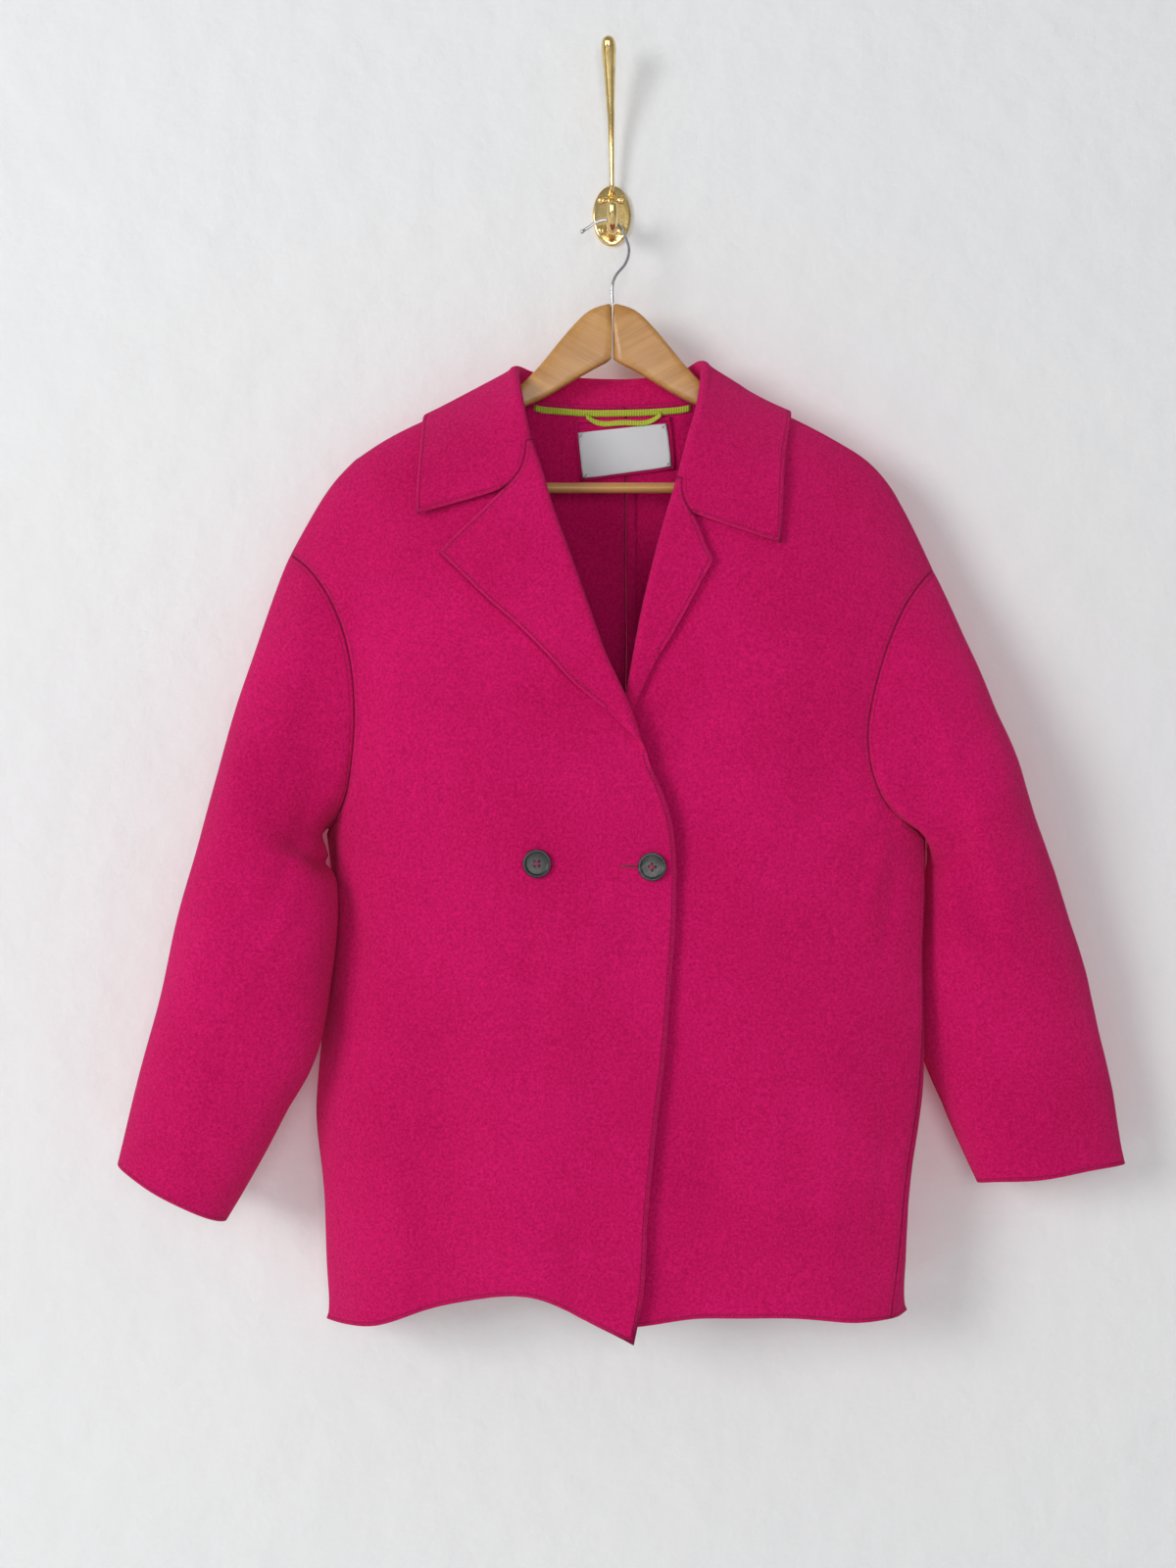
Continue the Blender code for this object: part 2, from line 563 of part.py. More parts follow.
def half_collar(side, front, back, ground):
    """Columns of the collar from the roll line's start to the centre back."""
    first = RIDGE_ROWS + NECK_ROWS
    before = [front.points[i] for i in front.grid[:first + 1, 0][::-1]]
    behind = [back.points[i] for i in back.grid[0, :NECK_COLUMNS + 1][::-1]]
    ahead, after = length_along(before), length_along(behind)
    station = np.concatenate([ahead / ahead[-1], 1 + after[1:] / after[-1]])
    seam = np.array(before + behind[1:])
    rows = COLLAR[side]
    mirror = np.array([SIGN[side], 1.0, 1.0])
    start = front.points[front.lapel[0, 0]] * mirror + (0, -FOLD_RADIUS, 0)

    def along(names, first_value=None):
        values = np.array([[getattr(r, n) for n in names] for r in rows], float)
        if first_value is not None:
            values[0] = first_value
        return np.stack([read_list(rows, values[:, k], station) for k in range(len(names))], 1)

    roll = along(("roll_out", "roll_y", "roll_z"), start)
    edge = along(("edge_out", "edge_y", "edge_z"))
    away = np.column_stack([along(("away_out", "away_y")), np.zeros(len(station))])
    tangent = np.gradient(roll, station, axis=0)
    tangent /= np.linalg.norm(tangent, axis=1)[:, None]
    away -= tangent * np.sum(away * tangent, axis=1)[:, None]
    away /= np.linalg.norm(away, axis=1)[:, None]
    top = np.cross(away, tangent)

    angles = np.linspace(0, math.pi, FOLD_COLUMNS + 1)
    gorge = [front.points[i] * mirror for i in front.lapel[0, :FOLD_COLUMNS + GORGE_COLUMNS + 1]]
    sides = [gorge[-1] + (edge[0] - gorge[-1]) * k / COLLAR_EDGE_COLUMNS for k in range(1, COLLAR_EDGE_COLUMNS + 1)]
    head = np.array(gorge[FOLD_COLUMNS:] + [ground.clear(p * mirror, COLLAR_CLEAR) * mirror for p in sides])
    share = (length_along(head) / length_along(head)[-1])[:, None]
    bend = head - (head[0] + share * (head[-1] - head[0]))
    columns = []
    for j, point in enumerate(seam):
        if j == 0:
            columns.append(np.vstack([[gorge[0]], gorge[:FOLD_COLUMNS], head]) * mirror)
            continue
        curl = [roll[j] + FOLD_RADIUS * (top[j] * math.sin(a) - away[j] * math.cos(a)) for a in angles]
        fade = max(0.0, 1 - station[j] / BEND_REACH) ** 1.5
        fall = (curl[-1] + share * (edge[j] - curl[-1]) + fade * bend) * mirror
        fall[1:] = [ground.clear(p, COLLAR_CLEAR) for p in fall[1:]]
        columns.append(np.vstack([[point], np.array(curl[:-1]) * mirror, fall]))
    return columns


def read_list(rows, values, at):
    return smooth_value([r.station for r in rows], values, at)


def collar_sheet(fronts, backs):
    """The collar: each column rises from the neck seam, turns over the roll and falls outside."""
    sheet = Sheet("collar")
    bodies = [*fronts.values(), *backs.values()]
    ground = Ground(bodies, [body.grid for body in bodies])
    right, left = [half_collar(side, fronts[side], backs[side], ground) for side in ("right", "left")]
    columns = right[:-1] + left[::-1]
    sheet.grid = np.zeros((len(columns), len(columns[0])), int)
    for j, column in enumerate(columns):
        for k, point in enumerate(column):
            at_roll_start = k == 1 and j in (0, len(columns) - 1)
            sheet.grid[j, k] = sheet.grid[j, 0] if at_roll_start else sheet.add(point)
    sheet.skin(sheet.grid, flip=True)
    return sheet


# ---------------------------------------------------------------- walls

def face_normals(sheet):
    """Each point's normal, from the faces round it."""
    normals = np.zeros((len(sheet.points), 3))
    for face in sheet.faces:
        ring = np.array([sheet.points[i] for i in face])
        normal = np.zeros(3)
        for a, b in zip(ring, np.roll(ring, -1, axis=0)):
            normal += np.cross(a - ring[0], b - ring[0])
        normals[face] += normal
    sheet.normals = normals / np.maximum(np.linalg.norm(normals, axis=1), 1e-9)[:, None]


def share_seams(sheets):
    """Gives the points that two pieces share one normal, so that their walls meet in a mitre, and parts them."""
    owners = [(sheet, i) for sheet in sheets for i in range(len(sheet.points))]
    tree = KDTree(len(owners))
    for n, (sheet, i) in enumerate(owners):
        tree.insert(sheet.points[i], n)
    tree.balance()
    for sheet in sheets:
        face_normals(sheet)
    seams = set()
    for sheet, i in owners:
        near = tuple(sorted(n for _, n, _ in tree.find_range(sheet.points[i], SAME_POINT)))
        if len({id(owners[n][0]) for n in near}) > 1:
            seams.add(near)
    groups = [[owners[n] for n in near] for near in seams]
    for members in groups:
        ways = []
        for s, i in members:
            alike = [n for n, way in enumerate(ways) if way.dot(s.normals[i]) > 0.5 * np.linalg.norm(way)]
            if alike:
                ways[alike[0]] = ways[alike[0]] + s.normals[i]
            else:
                ways.append(s.normals[i])
        normal = sum(way / np.linalg.norm(way) for way in ways)
        normal /= np.linalg.norm(normal)
        for s, i in members:
            s.normals[i] = normal
    for sheet in sheets:
        inward = {}
        for face in sheet.faces:
            centre = np.mean([sheet.points[i] for i in face], axis=0)
            for i in face:
                inward.setdefault(i, []).append(centre - sheet.points[i])
        moved = {}
        for members in groups:
            for s, i in members:
                if s is sheet:
                    step = np.mean(inward[i], axis=0)
                    step -= sheet.normals[i] * step.dot(sheet.normals[i])
                    moved[i] = step / max(np.linalg.norm(step), 1e-9) * SEAM * 0.7
        for i, step in moved.items():
            sheet.points[i] = sheet.points[i] + step


def split(face, points):
    """The triangles of a face, a four-sided one along its shorter diagonal."""
    if len(face) == 3:
        return [face]
    a, b, c, d = face
    if np.linalg.norm(points[a] - points[c]) <= np.linalg.norm(points[b] - points[d]):
        return [[a, b, c], [a, c, d]]
    return [[b, c, d], [b, d, a]]


def wall(sheet, thickness=CLOTH):
    """A closed wall: both skins of the sheet and a rim along its open edges. A Solidify modifier would
    square the rims off, and they have to lean to the seams' shared normals."""
    mid = np.array(sheet.points)
    half = sheet.normals * thickness / 2
    count = len(mid)
    points = np.vstack([mid + half, mid - half]) * MM
    faces = [list(f) for f in sheet.faces] + [[i + count for i in f[::-1]] for f in sheet.faces]
    edges = {}
    for face in sheet.faces:
        for a, b in zip(face, face[1:] + face[:1]):
            edges[(a, b)] = edges.get((a, b), 0) + 1
    faces += [[b, a, a + count, b + count] for (a, b) in edges if (b, a) not in edges]
    mesh = bpy.data.meshes.new(sheet.name)
    triangles = [triangle for face in faces for triangle in split([int(i) for i in face], points)]
    mesh.from_pydata([tuple(p) for p in points], [], triangles)
    mesh.shade_smooth()
    mesh.set_sharp_from_angle(angle=math.radians(50))
    return mesh


def strip_sheet(name, line, normals, across, width):
    """A narrow band along a line, from its upper to its lower edge."""
    sheet = Sheet(name)
    line, across = np.asarray(line), np.asarray(across)
    grid = np.array([line + across * width / 2, line - across * width / 2])
    sheet.grid = sheet.add_grid(grid)
    sheet.skin(sheet.grid)
    sheet.normals = np.vstack([normals, normals])
    return sheet


# ---------------------------------------------------------------- scene objects

COLOURS = {
    "wool": (0.62, 0.011, 0.12), "tape": (0.52, 0.62, 0.03), "label": (0.62, 0.65, 0.66),
    "button": (0.045, 0.047, 0.05), "wood": (0.60, 0.30, 0.10), "chrome": (0.55, 0.55, 0.57),
    "brass": (0.78, 0.60, 0.24),
}
FINISH = {"wool": (0.95, 0.0), "tape": (0.7, 0.0), "label": (0.8, 0.0), "button": (0.4, 0.0),
          "wood": (0.35, 0.0), "chrome": (0.12, 1.0), "brass": (0.15, 1.0)}


def material(kind, node):
    roughness, metallic = FINISH[kind]
    made = bpy.data.materials.new(f"{node}_{kind}")
    made.use_nodes = True
    shader = made.node_tree.nodes["Principled BSDF"]
    shader.inputs["Base Color"].default_value = (*COLOURS[kind], 1.0)
    shader.inputs["Roughness"].default_value = roughness
    shader.inputs["Metallic"].default_value = metallic
    return made


def place(name, mesh, kind, collection):
    obj = bpy.data.objects.new(name, mesh)
    obj.data.materials.append(material(kind, name))
    collection.objects.link(obj)
    return obj


def make_cloth(collection):
    fronts = {side: front_sheet(side) for side in SIGN}
    backs = {side: back_sheet(side) for side in SIGN}
    sleeves = [sleeve_sheet(side, fronts[side], backs[side]) for side in SIGN]
    collar = collar_sheet(fronts, backs)
    sheets = [*fronts.values(), *backs.values(), *sleeves, collar]
    share_seams(sheets)
    for sheet in sheets:
        place(sheet.name, wall(sheet), "wool", collection)
    return fronts, backs


# ---------------------------------------------------------------- tape, loop and label

TAPE_WIDTH = 5.0
TAPE_THICK = 0.8
TAPE_REACH = 66.0
TAPE_BELOW_SEAM = 1.0
TAPE_LIFT = 1.2
LOOP_WIDTH = 4.4
LOOP_LIFT = 4.2
PATCH_THICK = 1.6
PATCH_LIFT = 1.6
LABEL_THICK = 0.6
LABEL_GAP = 0.5
LOOP = table("x z", [(-22, -176), (-15, -180.5), (9, -181), (34, -179.5), (41, -174.5)])
PATCH = table("x z", [(-32, -178.5), (49.5, -176.5), (53.5, -219), (-27, -229)])
LABEL = table("x z", [(-29, -189), (46, -181.5), (50.5, -217), (-25, -227)])


def inner_back(ground, x, z, lift):
    """A point lifted off the inside of the back."""
    return np.array([x, ground.depth(x, z) - CLOTH / 2 - lift, z])


def quad_sheet(name, corners, ground, lift, columns=5, rows=3):
    """A small four-cornered piece laid on the inside of the back."""
    a, b, c, d = [np.array(pair) for pair in pairs(corners)]
    sheet = Sheet(name)
    grid = []
    for v in np.linspace(0, 1, rows + 1):
        left, right = a + (d - a) * v, b + (c - b) * v
        spots = [left + (right - left) * u for u in np.linspace(0, 1, columns + 1)]
        grid.append([inner_back(ground, x, z, lift) for x, z in spots])
    sheet.grid = sheet.add_grid(np.array(grid))
    sheet.skin(sheet.grid)
    face_normals(sheet)
    return sheet


def band(name, line, width, thickness, kind, collection):
    """A narrow tape along a line, its face to the viewer."""
    facing = np.array([[0, -1.0, 0]] * len(line))
    up = [np.array([0, 0, 1.0])] * len(line)
    place(name, wall(strip_sheet(name, line, facing, up, width), thickness), kind, collection)


def make_trim(backs, collection):
    ground = Ground(backs.values(), [back.grid for back in backs.values()])
    neck_x = [r.x for r in BACK_NECK]
    xs = np.linspace(-TAPE_REACH, TAPE_REACH, 15)
    zs = smooth_value(neck_x, [r.z for r in BACK_NECK], xs) - TAPE_BELOW_SEAM
    tape = Sheet("neck_tape")
    tape.grid = tape.add_grid(np.array([[inner_back(ground, x, z - drop, TAPE_LIFT) for x, z in zip(xs, zs)]
                                        for drop in (0.0, TAPE_WIDTH)]))
    tape.skin(tape.grid)
    face_normals(tape)
    place("neck_tape", wall(tape, TAPE_THICK), "tape", collection)
    line = [inner_back(ground, x, z, LOOP_LIFT) for x, z in divide(pairs(LOOP), steps(12))]
    band("hanging_loop", line, LOOP_WIDTH, TAPE_THICK, "tape", collection)
    patch_sheet = quad_sheet("label_patch", PATCH, ground, PATCH_LIFT)
    place("label_patch", wall(patch_sheet, PATCH_THICK), "wool", collection)
    patch_ground = Ground([patch_sheet], [patch_sheet.grid])
    lift = PATCH_THICK / 2 + LABEL_GAP + LABEL_THICK / 2 - CLOTH / 2
    label_sheet = quad_sheet("label", LABEL, patch_ground, lift)
    place("label", wall(label_sheet, LABEL_THICK), "label", collection)


# ---------------------------------------------------------------- buttons

BUTTONS = table("name x z", [("button_right_side", -61.5, -550), ("button_left_side", 31, -552.5)])
BUTTON_RADIUS = 11.6
BUTTON_THICK = 4.0
BUTTON_RIM = 1.6
HOLE_RADIUS = 1.1
HOLE_SPREAD = 2.6
BUTTON_SHANK = 0.9


def turned(name, profile, segments):
    """A turned solid from (radius, height) pairs, on the Y axis, rising towards -Y."""
    mesh = bpy.data.meshes.new(name)
    work = bmesh.new()
    points = [work.verts.new((r, 0.0, h)) for r, h in profile]
    edges = [work.edges.new(pair) for pair in zip(points, points[1:])]
    bmesh.ops.spin(work, geom=points + edges, cent=(0, 0, 0), axis=(0, 0, 1), angle=2 * math.pi, steps=segments,
                   use_duplicate=False)
    bmesh.ops.remove_doubles(work, verts=work.verts, dist=1e-6)
    bmesh.ops.rotate(work, verts=work.verts, cent=(0, 0, 0), matrix=rotation_to_front())
    bmesh.ops.recalc_face_normals(work, faces=work.faces)
    work.to_mesh(mesh)
    work.free()
    return mesh


def rotation_to_front():
    return Matrix.Rotation(math.radians(90), 3, "X")


def make_buttons(front, collection, cutters):
    ground = Ground([front], [front.grid])
    r, t = BUTTON_RADIUS * MM, BUTTON_THICK * MM
    rim = BUTTON_RIM * MM
    profile = [(0, 0), (r * 0.8, 0), (r, t * 0.45), (r, t * 0.8), (r - rim * 0.4, t), (r - rim, t),
               (r - rim * 1.6, t * 0.72), (0, t * 0.68)]
    for b in BUTTONS:
        mesh = turned(b.name, profile, 24)
        y = ground.depth(b.x, b.z) - CLOTH / 2 - BUTTON_SHANK
        obj = place(b.name, mesh, "button", collection)
        obj.location = (b.x * MM, y * MM, b.z * MM)
        for n in range(4):
            angle = math.pi / 4 + n * math.pi / 2 + (math.pi / 4 if b.x > 0 else 0.0)
            work = bmesh.new()
            bmesh.ops.create_cone(work, cap_ends=True, segments=6, radius1=HOLE_RADIUS * MM, radius2=HOLE_RADIUS * MM,
                                  depth=4 * t)
            bmesh.ops.rotate(work, verts=work.verts, cent=(0, 0, 0), matrix=rotation_to_front())
            hole_mesh = bpy.data.meshes.new(f"{b.name}_hole_{n}")
            work.to_mesh(hole_mesh)
            work.free()
            cutter = bpy.data.objects.new(hole_mesh.name, hole_mesh)
            cutter.location = (b.x * MM + HOLE_SPREAD * MM * math.cos(angle), y * MM,
                               b.z * MM + HOLE_SPREAD * MM * math.sin(angle))
            cutter.hide_render = True
            cutter.display_type = "WIRE"
            cutters.objects.link(cutter)
            cut = obj.modifiers.new(f"hole_{n}", "BOOLEAN")
            cut.object = cutter
            cut.operation = "DIFFERENCE"


# ---------------------------------------------------------------- hanger

HANGER_HALF_THICK = 5.5
HANGER_TOP = table("out z", [(0, -84.2), (18, -89), (34, -104), (50, -123), (63, -139), (73, -149)])
HANGER_FOOT = table("out z", [(217, -241), (206, -251), (192, -245), (168, -226), (132, -204), (100, -185),
                              (73, -170), (65, -167.5), (27, -145.5), (0.3, -131.3)])
HANGER_BELOW_CLOTH = 4.4
HALVES_GAP = 0.15
BAR_RADIUS = 4.4
BAR_Z = -238.5
BAR_END = 192.0
SOCKET_DEPTH = 8.0


def hanger_outline(side):
    """One half's outline, from the joint over the top and back along the foot."""
    top = [(HALVES_GAP, HANGER_TOP[0].z)] + [(r.out, r.z) for r in HANGER_TOP[1:]]
    outs = [84, 102, 120, 138, 156, 174, 190, 204, 213]
    along = [(o, shoulder_z(side, o) - HANGER_BELOW_CLOTH) for o in outs]
    curve = divide(top + along, steps(26))
    foot = divide([(219.5, -230.0)] + pairs(HANGER_FOOT[:3]), steps(6))
    rest = divide(pairs(HANGER_FOOT[2:]), steps(12))
    points = [tuple(p) for p in curve] + [tuple(p) for p in foot] + [tuple(p) for p in rest[1:]]
    points[-1] = (HALVES_GAP, HANGER_FOOT[-1].z)
    return points


def make_hanger(collection, cutters):
    for side, way in SIGN.items():
        outline = hanger_outline(side)
        name = f"hanger_arm_{side}"
        work = bmesh.new()
        ring = [work.verts.new((way * x * MM, (RIDGE_Y - HANGER_HALF_THICK) * MM, z * MM)) for x, z in outline]
        face = work.faces.new(ring)
        made = bmesh.ops.extrude_face_region(work, geom=[face])
        moved = [v for v in made["geom"] if isinstance(v, bmesh.types.BMVert)]
        bmesh.ops.translate(work, verts=moved, vec=(0, 2 * HANGER_HALF_THICK * MM, 0))
        bmesh.ops.recalc_face_normals(work, faces=work.faces)
        long_edges = [e for e in work.edges if abs(e.verts[0].co.y - e.verts[1].co.y) < 1e-6
                      and not (abs(e.verts[0].co.x) < 0.5 * MM and abs(e.verts[1].co.x) < 0.5 * MM)]
        bmesh.ops.bevel(work, geom=long_edges, offset=3.2 * MM, segments=2, affect="EDGES", profile=0.5)
        mesh = bpy.data.meshes.new(name)
        work.to_mesh(mesh)
        work.free()
        obj = place(name, mesh, "wood", collection)
        socket = bmesh.new()
        bmesh.ops.create_cone(socket, cap_ends=True, segments=16, radius1=(BAR_RADIUS + 0.3) * MM,
                              radius2=(BAR_RADIUS + 0.3) * MM, depth=2 * SOCKET_DEPTH * MM + 20 * MM)
        bmesh.ops.rotate(socket, verts=socket.verts, cent=(0, 0, 0), matrix=Matrix.Rotation(math.radians(90), 3, "Y"))
        socket_mesh = bpy.data.meshes.new(f"{name}_socket")
        socket.to_mesh(socket_mesh)
        socket.free()
        cutter = bpy.data.objects.new(socket_mesh.name, socket_mesh)
        inner_end = BAR_END + 0.3
        cutter.location = (way * (inner_end - SOCKET_DEPTH - 10) * MM, RIDGE_Y * MM, BAR_Z * MM)
        cutter.hide_render = True
        cutter.display_type = "WIRE"
        cutters.objects.link(cutter)
        cut = obj.modifiers.new("bar_socket", "BOOLEAN")
        cut.object = cutter
        cut.operation = "DIFFERENCE"
    bar = round_bar("trouser_bar", [(-BAR_END, RIDGE_Y, BAR_Z), (BAR_END, RIDGE_Y, BAR_Z)], BAR_RADIUS, 4)
    collection.objects.link(bar)
    bar.data.materials.append(material("wood", "trouser_bar"))


def round_bar(name, points, radius, resolution, radii=None):
    """A round bar along points, as a curve with filled caps."""
    curve = bpy.data.curves.new(name, "CURVE")
    curve.dimensions = "3D"
    curve.bevel_depth = radius * MM
    curve.bevel_resolution = resolution
    curve.use_fill_caps = True
    line = curve.splines.new("POLY")
    line.points.add(len(points) - 1)
    for i, (spot, point) in enumerate(zip(line.points, points)):
        spot.co = (point[0] * MM, point[1] * MM, point[2] * MM, 1.0)
        if radii is not None:
            spot.radius = radii[i]
    return bpy.data.objects.new(name, curve)


WIRE_RADIUS = 1.3
WIRE = table("x y z", [(-25.3, -36, -21.5), (-20.5, -36, -18.5), (-14, -36, -14), (-9, -36, -12.3), (-4.5, -36, -11.9),
                       (2.5, -36.5, -13.4), (8, -38, -20.5), (11.5, -40, -29), (13.8, -42, -37), (13, -44, -45),
                       (10, -45.5, -52), (3.5, -46.7, -60), (0.5, -47, -66.5), (-0.4, -47, -73), (0, -47, -84)])


def make_wire(collection):
    points = spline([(r.x, r.y, r.z) for r in WIRE], 3)
    wire = round_bar("hanger_hook", points, WIRE_RADIUS, 2)
    collection.objects.link(wire)
    wire.data.materials.append(material("chrome", "hanger_hook"))


# ---------------------------------------------------------------- wall hook

PLATE_WIDTH, PLATE_HEIGHT, PLATE_THICK = 33.0, 52.0, 3.4
SCREWS = table("name x z", [("screw_1", -8.4, 13.6), ("screw_2", 8.3, 13.6), ("screw_3", -8.4, -12.2),
                            ("screw_4", 8.3, -12.8)])
SCREW_RADIUS = 4.1
UPPER_PRONG = table("x y z radius", [(0, -5.6, 19, 2.2), (-0.1, -9.5, 23, 2.1), (-0.2, -11, 32, 2), (-0.4, -13, 50, 2.1),
                                     (-0.9, -18, 74, 2.8), (-1.8, -25, 98, 3.9), (-2.6, -33, 120, 5.3),
                                     (-3.1, -38.5, 132, 6.1), (-3.4, -41, 137.5, 5.2), (-3.6, -42.5, 140.5, 2.4)])
LOWER_PRONG = table("x y z radius", [(0, -5.4, 12, 2.4), (0, -10, 8, 2.6), (0, -16, -1, 3), (0, -22, -11, 3.6),
                                     (0, -29, -17.5, 4), (0, -36, -19.6, 4.2), (0, -43, -17.5, 4.3),
                                     (0, -48.5, -11, 4.4), (0, -50.5, -3.5, 3.9), (0, -50.8, -0.6, 2.2)])


def make_prong(name, rows, collection):
    """A tapered prong with a rounded end."""
    fine = spline([(r.x, r.y, r.z) for r in rows], 4)
    run = length_along(fine)
    knots = length_along(np.array([(r.x, r.y, r.z) for r in rows]))
    radii = smooth_value(knots, [r.radius for r in rows], run * knots[-1] / run[-1])
    curve = round_bar(name, fine, 1.0, 2, [float(r) for r in radii])
    collection.objects.link(curve)
    curve.data.materials.append(material("brass", name))


def make_wall_hook(collection):
    work = bmesh.new()
    levels = [(1.0, 0.0), (1.0, PLATE_THICK * 0.45), (0.965, PLATE_THICK * 0.85), (0.9, PLATE_THICK)]
    rings = []
    for scale, height in levels:
        rings.append([work.verts.new((PLATE_WIDTH / 2 * scale * math.cos(a) * MM, -height * MM,
                                      PLATE_HEIGHT / 2 * scale * math.sin(a) * MM))
                      for a in np.linspace(0, 2 * math.pi, 48, endpoint=False)])
    for low, high in zip(rings, rings[1:]):
        for i in range(48):
            work.faces.new([low[i], low[(i + 1) % 48], high[(i + 1) % 48], high[i]])
    work.faces.new(rings[0][::-1])
    work.faces.new(rings[-1])
    bmesh.ops.recalc_face_normals(work, faces=work.faces)
    mesh = bpy.data.meshes.new("wall_plate")
    work.to_mesh(mesh)
    work.free()
    place("wall_plate", mesh, "brass", collection)
    head = [(0, 0), (SCREW_RADIUS * MM, 0), (SCREW_RADIUS * 0.93 * MM, 0.8 * MM), (SCREW_RADIUS * 0.6 * MM, 1.5 * MM),
            (0, 1.8 * MM)]
    for screw in SCREWS:
        obj = place(screw.name, turned(screw.name, head, 16), "brass", collection)
        obj.location = (screw.x * MM, -(PLATE_THICK + 0.3) * MM, screw.z * MM)
    make_prong("upper_prong", UPPER_PRONG, collection)
    make_prong("lower_prong", LOWER_PRONG, collection)


# ---------------------------------------------------------------- build

def main():
    for obj in list(bpy.data.objects):
        bpy.data.objects.remove(obj, do_unlink=True)
    parts = bpy.data.collections.new("double_breasted_coat")
    cutters = bpy.data.collections.new("cutters")
    for collection in (parts, cutters):
        bpy.context.scene.collection.children.link(collection)
    fronts, backs = make_cloth(parts)
    make_trim(backs, parts)
    make_buttons(fronts["right"], parts, cutters)
    make_hanger(parts, cutters)
    make_wire(parts)
    make_wall_hook(parts)


main()
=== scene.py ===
# %% [markdown] A double-breasted coat of felted wool hangs on a wooden hanger from a brass wall
# hook. The packed CAD model is the fixed frame of this lesson: every finer piece is laid on it, in
# metres, with the origin on the back of the wall plate, X to the viewer's right, Y into the wall
# and Z up.

# %% The frame and its box
import math
from collections import namedtuple

import bmesh
import bpy
import numpy as np
from mathutils import Matrix, Vector
from mathutils.bvhtree import BVHTree
from mathutils.kdtree import KDTree


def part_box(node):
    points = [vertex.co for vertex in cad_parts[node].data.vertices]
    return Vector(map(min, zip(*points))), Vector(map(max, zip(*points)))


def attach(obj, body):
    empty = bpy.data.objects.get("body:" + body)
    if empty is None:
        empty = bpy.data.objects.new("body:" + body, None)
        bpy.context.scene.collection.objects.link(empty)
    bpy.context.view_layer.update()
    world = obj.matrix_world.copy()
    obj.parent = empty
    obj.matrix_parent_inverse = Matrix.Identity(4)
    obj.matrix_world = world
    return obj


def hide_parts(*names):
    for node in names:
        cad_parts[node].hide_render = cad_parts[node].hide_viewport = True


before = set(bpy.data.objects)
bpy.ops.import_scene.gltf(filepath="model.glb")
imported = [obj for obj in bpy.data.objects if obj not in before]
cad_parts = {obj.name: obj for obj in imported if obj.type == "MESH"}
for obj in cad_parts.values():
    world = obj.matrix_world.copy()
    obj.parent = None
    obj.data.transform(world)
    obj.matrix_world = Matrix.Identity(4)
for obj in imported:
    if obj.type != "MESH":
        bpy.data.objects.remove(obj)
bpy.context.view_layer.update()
scene = bpy.context.scene
MM = 0.001
SIDES = {"right": -1.0, "left": 1.0}  # the wearer's sides, and which way they lie along X


def table(columns, rows):
    """Rows of numbers with named columns."""
    Row = namedtuple("Row", columns)
    return [Row(*row) for row in rows]


def new_object(name, data):
    """A new object in the scene."""
    piece = bpy.data.objects.new(name, data)
    scene.collection.objects.link(piece)
    return piece


print("the coat's frame has", len(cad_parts), "nodes")

# %% [markdown]
# The camera stands where the photographer stood: square to the wall, level with the cloth a little
# above the buttons and about two metres away. A long lens from there keeps the coat's edges
# parallel. Its sensor is fitted to the height of the picture, so that the same view comes out at
# any width.

# %% The camera
SENSOR_HIGH = 36.0  # mm
HANGER_AWAY, PICTURE_HIGH = 1.9, 1.312  # m: this much of the hanger's plane fills the picture
lens = bpy.data.cameras.new("camera")
lens.sensor_fit = "VERTICAL"
lens.sensor_height = SENSOR_HIGH
lens.lens = SENSOR_HIGH * HANGER_AWAY / PICTURE_HIGH
camera = new_object("camera", lens)
camera.location = (-0.0205, -1.945, -0.486)
camera.rotation_euler = (math.radians(90), 0.0, 0.0)
scene.camera = camera
scene.view_settings.view_transform = "Standard"
print("the camera stands", -camera.location.y, "m from the wall")

# %% [markdown]
# A shader is built from a few nodes. This class keeps the recipes short: it starts a Principled
# material and sets its constant sockets, and its methods add a node with its inputs wired, or a
# noise, a ramp, a mix or a bump. The texture coordinate is the object's, so a grain of 500 to the
# metre is 2 mm wide on every piece alike.

